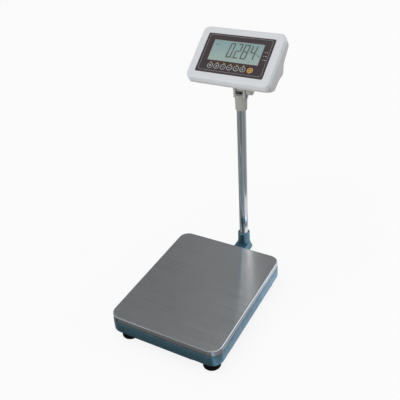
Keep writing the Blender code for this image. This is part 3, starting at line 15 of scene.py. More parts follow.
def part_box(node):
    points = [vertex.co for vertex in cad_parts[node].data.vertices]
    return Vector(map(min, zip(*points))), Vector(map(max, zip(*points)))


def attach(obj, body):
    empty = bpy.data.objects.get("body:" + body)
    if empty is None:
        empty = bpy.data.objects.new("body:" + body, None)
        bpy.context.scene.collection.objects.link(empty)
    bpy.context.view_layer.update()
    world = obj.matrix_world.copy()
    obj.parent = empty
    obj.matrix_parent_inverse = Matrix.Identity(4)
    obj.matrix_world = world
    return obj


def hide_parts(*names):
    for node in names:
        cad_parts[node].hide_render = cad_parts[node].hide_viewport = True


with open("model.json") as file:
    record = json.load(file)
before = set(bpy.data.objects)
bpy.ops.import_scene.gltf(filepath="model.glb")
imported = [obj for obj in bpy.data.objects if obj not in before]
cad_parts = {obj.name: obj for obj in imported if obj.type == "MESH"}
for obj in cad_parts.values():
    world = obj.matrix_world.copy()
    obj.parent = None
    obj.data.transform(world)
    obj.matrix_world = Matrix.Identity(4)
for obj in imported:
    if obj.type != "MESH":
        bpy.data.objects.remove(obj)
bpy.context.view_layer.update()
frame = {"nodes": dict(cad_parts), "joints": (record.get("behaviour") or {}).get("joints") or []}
nodes = frame["nodes"]
joints = {joint["name"]: joint for joint in frame["joints"]}


def add_object(name, data):
    """A new object with its data, in the scene."""
    added = bpy.data.objects.new(name, data)
    bpy.context.scene.collection.objects.link(added)
    return added


# %% [markdown]
# The indicator leans back on its hinge, so its face has axes of its own: x to the right, y up the
# face and z straight out of it. The keys are pressed straight into the face, so the direction
# of any key's joint gives the lean. The origin of the face is the middle of the printed film, at
# the level of the bezel's front.
# %% Axes of the indicator's face
def measure(node, place):
    """Lowest and highest corner of a node, counted in the axes of a place."""
    inward = place.inverted()
    points = [inward @ vertex.co for vertex in nodes[node].data.vertices]
    low = Vector([min(point[axis] for point in points) for axis in range(3)])
    high = Vector([max(point[axis] for point in points) for axis in range(3)])
    return low, high


hinge = Vector(joints["indicator_tilt"]["pos_m"])
face_out = -Vector(joints["power_key_press"]["axis"]).normalized()
face_up = face_out.cross(Vector((1, 0, 0)))
face_turn = Matrix(((1, 0, 0), face_up, face_out)).transposed().to_4x4()
at_hinge = Matrix.Translation(hinge) @ face_turn
film_low, film_high = measure("display_overlay", at_hinge)
bezel_front = measure("front_bezel", at_hinge)[1].z
face_middle = (film_low + film_high) / 2
face_middle.z = bezel_front
FACE = at_hinge @ Matrix.Translation(face_middle)
print("face leans back", round(math.degrees(math.asin(face_up.z)), 1), "degrees from level")

# %% [markdown]
# The camera stands where the photographer stood: to the right of the front, looking down, and
# turned a little about its own axis. Its place is counted from the middle of the pan's top, so
# the picture stays framed if the scale moves.
# %% Camera
CAMERA_AZIMUTH = math.radians(30.65)
CAMERA_ELEVATION = math.radians(33.28)
CAMERA_ROLL = math.radians(-3.98)
CAMERA_STAND = Vector((0.5982, -0.9726, 1.0105))
CAMERA_LENS = 52.65

pan_low, pan_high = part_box("weighing_pan")
pan_middle = (pan_low + pan_high) / 2
pan_middle.z = pan_high.z
back = Vector((math.sin(CAMERA_AZIMUTH) * math.cos(CAMERA_ELEVATION),
               -math.cos(CAMERA_AZIMUTH) * math.cos(CAMERA_ELEVATION),
               math.sin(CAMERA_ELEVATION)))
level_right = Vector((0, 0, 1)).cross(back).normalized()
camera_turn = Matrix((level_right, back.cross(level_right), back)).transposed().to_4x4()
camera_data = bpy.data.cameras.new("portrait")
camera_data.lens = CAMERA_LENS
camera_data.sensor_width = 36.0
camera = add_object("portrait", camera_data)
camera.matrix_world = (Matrix.Translation(pan_middle + CAMERA_STAND) @ camera_turn
                       @ Matrix.Rotation(CAMERA_ROLL, 4, "Z"))
bpy.context.scene.camera = camera
bpy.context.scene.view_settings.view_transform = "Standard"
print("camera at", [round(value, 3) for value in camera.matrix_world.translation])

# %% [markdown]
# Materials are made of nodes. A few helpers keep that readable. The first fills inputs with values
# or with other nodes' outputs, and the others build on it. One makes a node group, which is an
# effect that several materials share, with inputs and outputs that have names.
# %% Helpers for shader nodes
def fill(tree, inputs, values):
    """Set inputs to values, or link them where the value is another node's output."""
    for name, value in values.items():
        if isinstance(value, bpy.types.NodeSocket):
            tree.links.new(value, inputs[name])
        else:
            inputs[name].default_value = value


def add_node(tree, kind, inputs=None, **settings):
    """A node with its settings, and with some of its inputs filled."""
    node = tree.nodes.new(kind)
    for name, value in settings.items():
        setattr(node, name, value)
    fill(tree, node.inputs, inputs or {})
    return node


def math_node(tree, operation, first, second):
    return add_node(tree, "ShaderNodeMath", {0: first, 1: second}, operation=operation).outputs[0]


def remap(tree, value, start, end, low, high):
    """The value's range from start to end, stretched to run from low to high."""
    return add_node(tree, "ShaderNodeMapRange",
                    {"Value": value, "From Min": start, "From Max": end,
                     "To Min": low, "To Max": high}).outputs[0]


COLOR_A, COLOR_B, COLOR_RESULT = 6, 7, 2


def mix_colors(tree, share, first, second):
    return add_node(tree, "ShaderNodeMix", {0: share, COLOR_A: first, COLOR_B: second},
                    data_type="RGBA").outputs[COLOR_RESULT]


def new_group(name, inputs, outputs):
    """An empty node group: inputs are (name, kind, default), outputs are (name, kind)."""
    group = bpy.data.node_groups.new(name, "ShaderNodeTree")
    for label, kind, default in inputs:
        socket = group.interface.new_socket(label, in_out="INPUT", socket_type=kind)
        socket.default_value = default
    for label, kind in outputs:
        group.interface.new_socket(label, in_out="OUTPUT", socket_type=kind)
    given, result = group.nodes.new("NodeGroupInput"), group.nodes.new("NodeGroupOutput")
    return group, given.outputs, result.inputs


def new_material(name):
    """A material, its node tree and its Principled shader."""
    material = bpy.data.materials.new(name)
    material.use_nodes = True
    return material, material.node_tree, material.node_tree.nodes["Principled BSDF"]


def use_group(tree, group, inputs):
    """The outputs of a node group that is placed in a material."""
    return add_node(tree, "ShaderNodeGroup", inputs, node_tree=group).outputs


def relief(tree, shader, height, distance, strength):
    """A bump from a height that runs from 0 to 1, with its real depth in metres."""
    bump = add_node(tree, "ShaderNodeBump",
                    {"Height": height, "Distance": distance, "Strength": strength})
    fill(tree, shader.inputs, {"Normal": bump.outputs["Normal"]})


FLOAT = "NodeSocketFloat"
COLOR = "NodeSocketColor"
VECTOR = "NodeSocketVector"

# %% [markdown]
# Moulded plastic and rubber are never quite one colour or quite smooth. The mould is etched, so
# the surface has a fine grain, and the tone drifts a little across a part. One group gives both:
# a fine height for the bump, and a slow drift of the colour and the roughness.
# %% Group: moulded texture
moulded, given, result = new_group(
    "moulded_texture",
    [("Color", COLOR, (0.5, 0.5, 0.5, 1.0)), ("Grain size", FLOAT, 0.0006),
     ("Drift size", FLOAT, 0.06), ("Drift", FLOAT, 0.05), ("Roughness", FLOAT, 0.5)],
    [("Color", COLOR), ("Height", FLOAT), ("Roughness", FLOAT)])
where = add_node(moulded, "ShaderNodeTexCoord").outputs["Object"]
grain = add_node(moulded, "ShaderNodeTexNoise",
                 {"Vector": where, "Scale": math_node(moulded, "DIVIDE", 1.0, given["Grain size"]),
                  "Detail": 2.0})
drift = add_node(moulded, "ShaderNodeTexNoise",
                 {"Vector": where, "Scale": math_node(moulded, "DIVIDE", 1.0, given["Drift size"]),
                  "Detail": 3.0})
swing = math_node(moulded, "MULTIPLY", math_node(moulded, "SUBTRACT", drift.outputs[0], 0.5),
                  given["Drift"])
tinted = add_node(moulded, "ShaderNodeVectorMath",
                  {0: given["Color"], "Scale": math_node(moulded, "ADD", swing, 1.0)},
                  operation="SCALE")
fill(moulded, result, {"Color": tinted.outputs[0], "Height": grain.outputs[0],
                       "Roughness": math_node(moulded, "SUBTRACT", given["Roughness"], swing)})
print("group", moulded.name)

# %% [markdown]
# Hammer paint dries into small cells with a metallic glint in each. Cell noise gives the cells,
# and the distance to a cell's middle gives the dimple and the glint. The cells are pushed about a
# little by plain noise, so they don't look tiled.
# %% Group: hammer paint
hammer, given, result = new_group(
    "hammer_paint",
    [("Base", COLOR, (0.1, 0.2, 0.25, 1.0)), ("Fleck", COLOR, (0.3, 0.4, 0.5, 1.0)),
     ("Cell size", FLOAT, 0.002), ("Fleck amount", FLOAT, 0.5)],
    [("Color", COLOR), ("Height", FLOAT), ("Roughness", FLOAT)])
where = add_node(hammer, "ShaderNodeTexCoord").outputs["Object"]
per_cell = math_node(hammer, "DIVIDE", 1.0, given["Cell size"])
wander = add_node(hammer, "ShaderNodeTexNoise",
                  {"Vector": where, "Scale": per_cell, "Detail": 2.0})
push = add_node(hammer, "ShaderNodeVectorMath",
                {0: wander.outputs["Color"], "Scale": given["Cell size"]}, operation="SCALE")
bent = add_node(hammer, "ShaderNodeVectorMath", {0: where, 1: push.outputs[0]}, operation="ADD")
cells = add_node(hammer, "ShaderNodeTexVoronoi",
                 {"Vector": bent.outputs[0], "Scale": per_cell}, feature="SMOOTH_F1")
glint = remap(hammer, cells.outputs["Distance"], 0.55, 0.10, 0.0, 1.0)
fleck = math_node(hammer, "MULTIPLY", glint, given["Fleck amount"])
fill(hammer, result, {"Color": mix_colors(hammer, fleck, given["Base"], given["Fleck"]),
                      "Height": glint, "Roughness": remap(hammer, glint, 0.0, 1.0, 0.40, 0.25)})
print("group", hammer.name)

# %% [markdown]
# Brushed, drawn and machined metal all carry fine parallel lines. Noise that is stretched far
# along one direction looks like them. The material hands in the coordinates, because the lines
# follow the sheet on a pressed part and the axis on a drawn tube.
# %% Group: drawn lines
drawn, given, result = new_group(
    "drawn_lines",
    [("Vector", VECTOR, (0.0, 0.0, 0.0)), ("Line width", FLOAT, 0.0004),
     ("Line length", FLOAT, 0.08)],
    [("Lines", FLOAT), ("Clouds", FLOAT)])
across = math_node(drawn, "DIVIDE", 1.0, given["Line width"])
along = math_node(drawn, "DIVIDE", 1.0, given["Line length"])
stretch = add_node(drawn, "ShaderNodeCombineXYZ", {"X": across, "Y": along, "Z": along})
scaled = add_node(drawn, "ShaderNodeVectorMath", {0: given["Vector"], 1: stretch.outputs[0]},
                  operation="MULTIPLY")
lines = add_node(drawn, "ShaderNodeTexNoise",
                 {"Vector": scaled.outputs[0], "Scale": 1.0, "Detail": 3.0, "Roughness": 0.6})
clouds = add_node(drawn, "ShaderNodeTexNoise",
                  {"Vector": given["Vector"], "Scale": 9.0, "Detail": 2.0})
fill(drawn, result, {"Lines": lines.outputs[0], "Clouds": clouds.outputs[0]})
print("group", drawn.name)

# %% [markdown]
# The pan is stainless sheet, brushed from side to side before it was folded. Light that meets
# such lines is smeared across them and stays sharp along them, which the shader calls
# anisotropy. It needs a direction, so the pan's mesh carries a UV map named grain, where U runs
# across the brushing.
# %% Finish: brushed pan
FINISHES = {}
GRAIN_MAP = "grain"

material, tree, shader = new_material("brushed_pan_steel")
grain_map = add_node(tree, "ShaderNodeUVMap", uv_map=GRAIN_MAP).outputs[0]
lines = use_group(tree, drawn, {"Vector": grain_map, "Line width": 0.0014, "Line length": 0.60})
tone = math_node(tree, "ADD", remap(tree, lines["Lines"], 0.35, 0.65, 0.0, 0.70),
                 math_node(tree, "MULTIPLY", lines["Clouds"], 0.30))
tangent = add_node(tree, "ShaderNodeTangent", direction_type="UV_MAP", uv_map=GRAIN_MAP)
fill(tree, shader.inputs, {
    "Base Color": mix_colors(tree, tone, (0.37, 0.385, 0.395, 1), (0.53, 0.54, 0.55, 1)),
    "Roughness": remap(tree, lines["Lines"], 0.3, 0.7, 0.15, 0.21),
    "Tangent": tangent.outputs[0], "Metallic": 1.0, "Anisotropic": 1.0})
relief(tree, shader, lines["Lines"], 0.000002, 0.4)
FINISHES["pan_steel"] = material

# %% [markdown]
# The other metals are a plated tube, zinc-plated fasteners, and aluminium that is machined on the
# load cell and left as cast on the spider that carries the pan.
# %% Finishes: tube, fasteners and aluminium
def metal(name, color, roughness, line_width, line_length, depth):
    """A metal with drawn lines round or along its object axes."""
    material, tree, shader = new_material(name)
    where = add_node(tree, "ShaderNodeTexCoord").outputs["Object"]
    lines = use_group(tree, drawn, {"Vector": where, "Line width": line_width,
                                    "Line length": line_length})
    darker = tuple(value * 0.88 for value in color)
    fill(tree, shader.inputs, {
        "Base Color": mix_colors(tree, lines["Clouds"], (*darker, 1), (*color, 1)),
        "Roughness": remap(tree, lines["Lines"], 0.2, 0.8, roughness * 0.8, roughness * 1.25),
        "Metallic": 1.0})
    relief(tree, shader, lines["Lines"], depth, 0.4)
    return material


FINISHES["column_steel"] = metal("plated_tube", (0.72, 0.74, 0.76), 0.09, 0.0015, 0.25, 0.000004)
FINISHES["zinc_steel"] = metal("zinc_plate", (0.62, 0.63, 0.64), 0.32, 0.0008, 0.004, 0.00001)
FINISHES["machined_aluminium"] = metal("milled_aluminium", (0.74, 0.75, 0.76), 0.34,
                                       0.0006, 0.05, 0.00002)
FINISHES["cast_aluminium"] = metal("cast_aluminium", (0.56, 0.57, 0.58), 0.52,
                                   0.0010, 0.0014, 0.00005)
print("metals:", [finish.name for finish in FINISHES.values()])

# %% [markdown]
# The casting is sprayed with a blue-green hammer paint, which is half metallic: part of the light
# is thrown back by the pigment flakes. The bracket behind is the same paint.
# %% Finish: hammer-painted casting
material, tree, shader = new_material("blue_hammer_paint")
paint = use_group(tree, hammer, {"Base": (0.072, 0.165, 0.215, 1), "Cell size": 0.0022,
                                 "Fleck": (0.235, 0.39, 0.50, 1), "Fleck amount": 0.6})
fill(tree, shader.inputs, {"Base Color": paint["Color"], "Roughness": paint["Roughness"],
                           "Metallic": 0.8, "Coat Weight": 0.15, "Coat Roughness": 0.15})
relief(tree, shader, paint["Height"], 0.00008, 0.5)
FINISHES["cast_paint"] = material

# %% [markdown]
# Everything moulded shares the moulded-texture group, from the pale housing to the rubber feet.
# Each finish is one line here: its colour, its roughness, the size of its grain and how deep it is,
# and on two of them how much the tone drifts, a clear coat and the gloss.
# %% Finishes: plastics and rubber
def plastic(name, color, roughness, grain_size=0.0007, depth=0.00002, drift=0.06, coat=0.0,
            gloss=0.5):
    material, tree, shader = new_material(name)
    surface = use_group(tree, moulded, {"Color": (*color, 1), "Grain size": grain_size,
                                        "Drift": drift, "Roughness": roughness})
    fill(tree, shader.inputs, {"Base Color": surface["Color"], "Roughness": surface["Roughness"],
                               "Coat Weight": coat, "Coat Roughness": 0.12,
                               "Specular IOR Level": gloss})
    relief(tree, shader, surface["Height"], depth, 0.6)
    return material


FINISHES.update({
    "housing_plastic": plastic("housing_plastic", (0.545, 0.56, 0.58), 0.42),
    "shell_plastic": plastic("rear_shell_plastic", (0.46, 0.45, 0.44), 0.48),
    "head_plastic": plastic("head_plastic", (0.305, 0.300, 0.283), 0.50),
    "rubber": plastic("foot_rubber", (0.004, 0.004, 0.005), 0.72, 0.0012, 0.00005, 0.2, 0.0, 0.06),
    "dark_plastic": plastic("dark_plastic", (0.030, 0.030, 0.032), 0.45),
    "battery_case": plastic("battery_case", (0.07, 0.07, 0.08), 0.40),
    "board": plastic("circuit_board_mask", (0.015, 0.11, 0.045), 0.35, 0.0004, 0.00001, 0.3, 0.4),
    "overlay_film": plastic("printed_film", (0.037, 0.027, 0.030), 0.33, 0.0003, 0.000008),
    "key_film": plastic("key_film", (0.040, 0.035, 0.037), 0.35, 0.0003, 0.000006),
    "power_key_film": plastic("power_key_film", (0.27, 0.132, 0.010), 0.35, 0.0003, 0.000006),
})
INKS = {
    "silver_ink": plastic("silver_ink", (0.42, 0.40, 0.40), 0.32, 0.0003, 0.000004),
    "yellow_ink": plastic("yellow_ink", (0.62, 0.42, 0.02), 0.40, 0.0003, 0.000004),
    "pale_ink": plastic("pale_ink", (0.62, 0.60, 0.60), 0.40, 0.0003, 0.000004),
    "segment_ink": plastic("liquid_crystal_segment", (0.076, 0.066, 0.051), 0.35, 0.0005, 0.000002),
    "faint_ink": plastic("faint_segment", (0.136, 0.16, 0.152), 0.35, 0.0005, 0.000002),
    "power_ink": plastic("power_key_ink", (0.78, 0.56, 0.24), 0.40, 0.0003, 0.000004),
    "window_edge": plastic("window_edge", (0.29, 0.25, 0.25), 0.40, 0.0005, 0.000004),
}
print("moulded finishes:", len(FINISHES), "inks:", len(INKS))

# %% [markdown]
# The display is a reflective liquid crystal: grey-green film behind clear plastic. Its colour
# carries
# painted shading: cooler at the upper edge and lighter and warmer at the lower edge, as the light
# falls across the glass. The height up the face comes from the object's own coordinates, so the
# painted gradient stays on the glass when the indicator is tilted.
# %% Finish: display, lamps and vial
lcd_low, lcd_high = measure("lcd_glass", FACE)
material, tree, shader = new_material("reflective_display")
where = add_node(tree, "ShaderNodeTexCoord").outputs["Object"]
up_face = add_node(tree, "ShaderNodeVectorMath", {0: where, 1: face_up}, operation="DOT_PRODUCT")
origin_up = FACE.translation.dot(face_up)
# The share runs up the face and mixes the glass's painted shading: cooler above, lighter and warmer
# below.
share = remap(tree, up_face.outputs["Value"], origin_up + lcd_low.y, origin_up + lcd_high.y,
              0.0, 1.0)
fill(tree, shader.inputs, {
    "Base Color": mix_colors(tree, share, (0.275, 0.35, 0.325, 1), (0.178, 0.29, 0.295, 1)),
    "Roughness": 0.30, "Coat Weight": 0.2, "Coat Roughness": 0.05})
FINISHES["lcd_film"] = material

material, tree, shader = new_material("green_lamp_lens")
fill(tree, shader.inputs, {"Base Color": (0.03, 0.28, 0.05, 1), "Roughness": 0.2,
                           "Emission Color": (0.04, 0.45, 0.06, 1), "Emission Strength": 0.25,
                           "Coat Weight": 0.5})
FINISHES["lamp_plastic"] = material

material, tree, shader = new_material("spirit_level_vial")
fill(tree, shader.inputs, {"Base Color": (0.62, 0.78, 0.20, 1), "Roughness": 0.06,
                           "Coat Weight": 1.0, "Transmission Weight": 0.35})
FINISHES["vial_plastic"] = material
print("finishes:", sorted(FINISHES))

# %% [markdown]
# The floor is white paper that runs out of sight. Most of what the camera sees of it is its own
# white, so it stays white in plain light. The rest is lit, which keeps the scale's soft shadow.
# %% Floor and world
FLOOR_HALF = 12.0
FLOOR_OWN_WHITE = 0.88
AMBIENT = 0.25


def looked_at(tree):
    """1 where the camera, a mirror or clear plastic looks at it, or 0 for all other light."""
    path = add_node(tree, "ShaderNodeLightPath").outputs
    mirrored = math_node(tree, "MAXIMUM", path["Is Glossy Ray"], path["Is Transmission Ray"])
    return math_node(tree, "MAXIMUM", path["Is Camera Ray"], mirrored)


floor_mesh = bpy.data.meshes.new("studio_floor")
floor_mesh.from_pydata([(x, y, 0.0) for x, y in ((-FLOOR_HALF, -FLOOR_HALF),
                                                 (FLOOR_HALF, -FLOOR_HALF),
                                                 (FLOOR_HALF, FLOOR_HALF),
                                                 (-FLOOR_HALF, FLOOR_HALF))], [], [(0, 1, 2, 3)])
floor = add_object("studio_floor", floor_mesh)
material, tree, shader = new_material("white_paper")
fill(tree, shader.inputs, {"Base Color": (0.80, 0.80, 0.80, 1), "Roughness": 0.9,
                           "Specular IOR Level": 0.0})
own_white = add_node(tree, "ShaderNodeEmission", {"Color": (1, 1, 1, 1), "Strength": 1.0})
blend_share = math_node(tree, "MULTIPLY", looked_at(tree), FLOOR_OWN_WHITE)
blended = add_node(tree, "ShaderNodeMixShader",
                   {0: blend_share, 1: shader.outputs[0], 2: own_white.outputs[0]})
fill(tree, tree.nodes["Material Output"].inputs, {"Surface": blended.outputs[0]})
floor_mesh.materials.append(material)

world = bpy.data.worlds.new("white_room")
bpy.context.scene.world = world
world.use_nodes = True
tree = world.node_tree
strength = remap(tree, looked_at(tree), 0.0, 1.0, AMBIENT, 1.0)
fill(tree, tree.nodes["Background"].inputs, {"Color": (1, 1, 1, 1), "Strength": strength})
print("floor and world set")

# %% [markdown]
# Three soft lamps light the scale: one overhead, one on the right, and a low one in front that
# reaches under the indicator. They are suns with a wide angle, so their light is even over the
# whole floor, as from a large soft box far away, and the shadows are soft. Reflections are left to
# the white room and the cards, so that no hot spot lies on the film or the steel.
# %% Lamps
def soft_lamp(name, comes_from, strength, spread):
    data = bpy.data.lights.new(name, "SUN")
    data.energy = strength
    data.angle = math.radians(spread)
    lamp = add_object(name, data)
    lamp.rotation_euler = Vector(comes_from).to_track_quat("Z", "Y").to_euler()
    lamp.visible_glossy = False


soft_lamp("top_lamp", (-0.10, -0.15, 1.0), 1.55, 60)
soft_lamp("right_lamp", (0.88, 0.13, 0.44), 0.62, 40)
soft_lamp("front_lamp", (-0.25, -1.0, 0.04), 2.3, 18)

# %% [markdown]
# Polished and brushed metal look like what they reflect. In a white room the pan would be white,
# so a studio sets up cards: grey ones high behind, which the pan's top reflects, a dark one
# overhead for the indicator's face, and lit ones for the bright edges of the sheet. The grey ones
# are narrow strips that turn lighter to the right along a soft step. The camera doesn't see the
# cards and they cast no shadow. A tone above 1 is a card that is lit.
# %% Reflection cards
def card(name, corners, tone):
    """A flat card that is seen only in reflections, with one grey or colour."""
    mesh = bpy.data.meshes.new(name)
    mesh.from_pydata(corners, [], [tuple(range(len(corners)))])
    placed = add_object(name, mesh)
    for way in ("camera", "diffuse", "transmission", "volume_scatter", "shadow"):
        setattr(placed, f"visible_{way}", False)
    material, tree, _ = new_material(name)
    glow = add_node(tree, "ShaderNodeEmission", {"Color": (*tone, 1), "Strength": 1.0})
    fill(tree, tree.nodes["Material Output"].inputs, {"Surface": glow.outputs[0]})
    mesh.materials.append(material)


def facing_card(name, place, look_at, width, height, tone):
    """A rectangular card that stands at a place and faces another."""
    turn = (Vector(look_at) - Vector(place)).to_track_quat("Z", "Y").to_matrix().to_4x4()
    stand = Matrix.Translation(place) @ turn
    half = [(-width / 2, -height / 2), (width / 2, -height / 2),
            (width / 2, height / 2), (-width / 2, height / 2)]
    card(name, [tuple(stand @ Vector((x, y, 0))) for x, y in half], tone)


mirror_way = Vector((-back.x, -back.y, back.z))
STRIP_DISTANCE = 2.2
STRIP_DROP = Vector((0, 0, 0.35))
STRIPS = 9
STRIP_WIDTH = 0.17
STRIP_HEIGHT = 3.0
DARKEST_GREY = 0.295
GREY_RISE = 0.085
behind = pan_middle + mirror_way * STRIP_DISTANCE - STRIP_DROP
for step in range(-STRIPS, STRIPS + 1):
    shift = level_right * (step * STRIP_WIDTH)
    light = DARKEST_GREY + GREY_RISE / (1 + math.exp(-2.2 * (step + 0.3)))
    facing_card(f"grey_card_{step + STRIPS}", behind + shift, pan_middle + shift, STRIP_WIDTH,
                STRIP_HEIGHT, (light, light * 1.015, light * 1.035))
film_mirror_way = 2 * back.dot(face_out) * face_out - back
facing_card("overhead_card", FACE.translation + film_mirror_way * 1.5, FACE.translation,
            1.1, 1.1, (0.10, 0.10, 0.10))
front_line_way = Vector((-0.426, -0.60, 0.68))
facing_card("line_light", pan_middle + front_line_way * 2.6, pan_middle, 2.6, 0.55,
            (2.4, 2.35, 2.25))
right_line_way = Vector((0.549, 0.719, 0.426))
facing_card("edge_light", pan_middle + right_line_way * 2.4, pan_middle, 1.5, 1.1,
            (2.4, 2.45, 2.5))
print("cards in the air:", 2 * STRIPS + 4)

# %% [markdown]
# An upright wall reflects the floor beside it, and each height of the wall sees its own strip: the
# higher, the farther out. So the painted base sees the near strip and the pan's skirt the next one,
# and cards on the floor give each its tone. On the right the tones rise towards the back.
# %% Cards on the floor
CARD_LEVEL = 0.002
NEAR_STRIP = 0.008
FRONT_SKIRT_SEES = 0.0485
FRONT_SKIRT_END = 0.075
FRONT_END = 0.200
base_low, base_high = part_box("base_casting")


def floor_card(name, left, right, near, far, tone):
    card(name, [(left, near, CARD_LEVEL), (right, near, CARD_LEVEL), (right, far, CARD_LEVEL),
                (left, far, CARD_LEVEL)], tone)


front, side, centre = base_low.y, base_high.x, pan_middle.y
floor_card("front_card_1", -0.8, 0.15, front - FRONT_SKIRT_SEES, front - NEAR_STRIP,
           (0.008, 0.018, 0.018))
floor_card("front_card_2", -0.8, 0.15, front - FRONT_SKIRT_END, front - FRONT_SKIRT_SEES,
           (0.29, 0.28, 0.275))
floor_card("front_card_3", -0.9, 0.13, front - FRONT_END, front - FRONT_SKIRT_END,
           (0.34, 0.33, 0.325))
floor_card("front_card_4", -2.2, -0.3, front - 1.3, front - FRONT_END, (0.26, 0.27, 0.28))
wall, skirt, outer_end = side + 0.006, side + 0.0275, side + 0.15
floor_card("side_card_1", wall, skirt, front - 0.10, centre + 0.10, (0.86, 1.03, 1.24))
floor_card("side_card_2", wall, skirt, centre + 0.10, centre + 0.55, (1.04, 1.26, 1.55))
SKIRT_TONES = [(front - 0.10, centre - 0.03, (0.36, 0.33, 0.32)),
               (centre - 0.03, centre + 0.05, (0.42, 0.40, 0.39)),
               (centre + 0.05, centre + 0.15, (0.58, 0.56, 0.55)),
               (centre + 0.15, centre + 0.45, (0.86, 0.84, 0.83))]
for number, (near, far, tone) in enumerate(SKIRT_TONES, 3):
    floor_card(f"side_card_{number}", skirt, outer_end, near, far, tone)
print("cards on the floor: 10")

# %% [markdown]
# The column is an upright mirror tube, and it turns directions into stripes: everything that lies
# in one direction from it shows as one upright line. So its stripes are made by a fan of floor
# cards round its foot, for the upper part, and by an arch of cards far in front, which it sees by
# way of the pan, for the lower part. A narrow bright card close behind it gives the pan its streak,
# and a lit one on the right gives the socket its light side. Each row below holds the angles where
# a card starts and ends, counted from the front to the right, and its tone. A row of the fan also
# says how near to the column its card starts.
# %% Stripes for the column
column_foot = (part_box("column_tube")[0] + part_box("column_tube")[1]) / 2


def around(angle, radius, level):
    """A point at an angle and a distance from the column."""
    angle = math.radians(angle)
    return (column_foot.x + radius * math.sin(angle), column_foot.y - radius * math.cos(angle),
            level)


FAN_REACH = 1.30
ARCH_RADIUS = 2.2
ARCH_LOW = 0.6
ARCH_HIGH = 1.9
FAN = [(-110, -78, 0.03, (0.20, 0.22, 0.22)), (-78, -45, 0.03, (0.30, 0.33, 0.33)),
       (-45, -17, 0.03, (0.27, 0.28, 0.28)), (-17, 8, 0.03, (0.20, 0.20, 0.19)),
       (8, 30, 0.03, (0.15, 0.165, 0.165)), (30, 54, 0.10, (0.34, 0.36, 0.355)),
       (54, 78, 0.13, (0.24, 0.27, 0.28)), (78, 105, 0.13, (0.27, 0.31, 0.32)),
       (105, 145, 0.13, (0.36, 0.40, 0.44))]
for start, end, near, tone in FAN:
    angles = [start + (end - start) * step / 4 for step in range(5)]
    inner = [around(angle, near, CARD_LEVEL / 2) for angle in angles]
    outer = [around(angle, FAN_REACH, CARD_LEVEL / 2) for angle in reversed(angles)]
    card(f"fan_{start}", inner + outer, tone)
ARCH = [(-75, -45, (0.50, 0.68, 0.80)), (-45, -17, (0.15, 0.30, 0.40)),
        (-17, 8, (0.25, 0.42, 0.54)), (8, 30, (0.36, 0.55, 0.68)), (30, 54, (0.48, 0.60, 0.70)),
        (54, 76, (1.0, 1.02, 1.04)), (76, 105, (0.72, 0.80, 0.86))]
for start, end, tone in ARCH:
    card(f"arch_{start}",
         [around(start, ARCH_RADIUS, ARCH_LOW), around(end, ARCH_RADIUS, ARCH_LOW),
          around(end, ARCH_RADIUS, ARCH_HIGH), around(start, ARCH_RADIUS, ARCH_HIGH)], tone)
streak_left, streak_right = column_foot.x - 0.0130, column_foot.x - 0.0045
streak_y = column_foot.y + 0.05
STREAK_LOW = 0.15
STREAK_HIGH = 0.50
card("pan_streak", [(streak_left, streak_y, STREAK_LOW), (streak_right, streak_y, STREAK_LOW),
                    (streak_right, streak_y, STREAK_HIGH), (streak_left, streak_y, STREAK_HIGH)],
     (3.0, 2.9, 2.85))
socket_way = Vector((0.80, 0.57, 0.20))
facing_card("socket_light", column_foot + socket_way * 1.8, column_foot, 2.0, 1.0,
            (2.6, 2.9, 3.3))
print("stripes:", len(FAN), "on the floor,", len(ARCH), "in front")

# %% [markdown]
# Three ways of building cover most of the scale. A loop round a rectangle with rounded corners
# can be drawn at several insets and levels and joined into a solid, which makes the pan, the
# bezel and the shell. A circle treated the same way makes everything that is turned. A flat
# outline, filled and given a thickness, makes the printed marks.
# %% Helpers for meshes
CORNER_STEPS = 10
SHARP_TURN = math.radians(32)


def arc(centre, radius, start, end, steps):
    """Points of a circular arc, with angles in degrees."""
    angles = [math.radians(start + (end - start) * step / steps) for step in range(steps + 1)]
    return [(centre[0] + radius * math.cos(a), centre[1] + radius * math.sin(a)) for a in angles]


def rounded_loop(low, high, corner):
    """Plan of a rectangle with rounded corners, anticlockwise from the right-hand side."""
    points = []
    inner = [(high.x - corner, high.y - corner), (low.x + corner, high.y - corner),
             (low.x + corner, low.y + corner), (high.x - corner, low.y + corner)]
    for index, centre in enumerate(inner):
        points += arc(centre, corner, 90 * index, 90 * index + 90, CORNER_STEPS)
    return points


def rounded_ring(low, high, corner, inset, level):
    grow = Vector((inset, inset))
    loop = rounded_loop(low.xy + grow, high.xy - grow, max(corner - inset, 0.0002))
    return [(x, y, level) for x, y in loop]


def circle(radius, level, sides):
    return [(x, y, level) for x, y in arc((0, 0), max(radius, 0.00001), 0, 360, sides)[:-1]]


def loft(name, rings, place=Matrix.Identity(4), closed=False):
    """A solid through rings of as many points each, capped at both ends or closed on itself."""
    bm = bmesh.new()
    loops = [[bm.verts.new(place @ Vector(point)) for point in ring] for ring in rings]
    count = len(loops[0])
    pairs = list(zip(loops, loops[1:]))
    if closed:
        pairs.append((loops[-1], loops[0]))
    else:
        bm.faces.new(loops[0][::-1])
        bm.faces.new(loops[-1])
    for lower, upper in pairs:
        for index in range(count):
            bm.faces.new((lower[index - 1], lower[index], upper[index], upper[index - 1]))
    return shaded(name, bm)


def shaded(name, bm):
    """The finished mesh, smooth except where it turns sharply."""
    bmesh.ops.recalc_face_normals(bm, faces=bm.faces)
    mesh = bpy.data.meshes.new(name)
    bm.to_mesh(mesh)
    bm.free()
    mesh.shade_smooth()
    mesh.set_sharp_from_angle(angle=SHARP_TURN)
    return mesh


def turned(name, profile, place, sides, closed=False):
    """A lathe profile of (radius, height) points round a place's Z axis."""
    return loft(name, [circle(radius, level, sides) for radius, level in profile], place, closed)


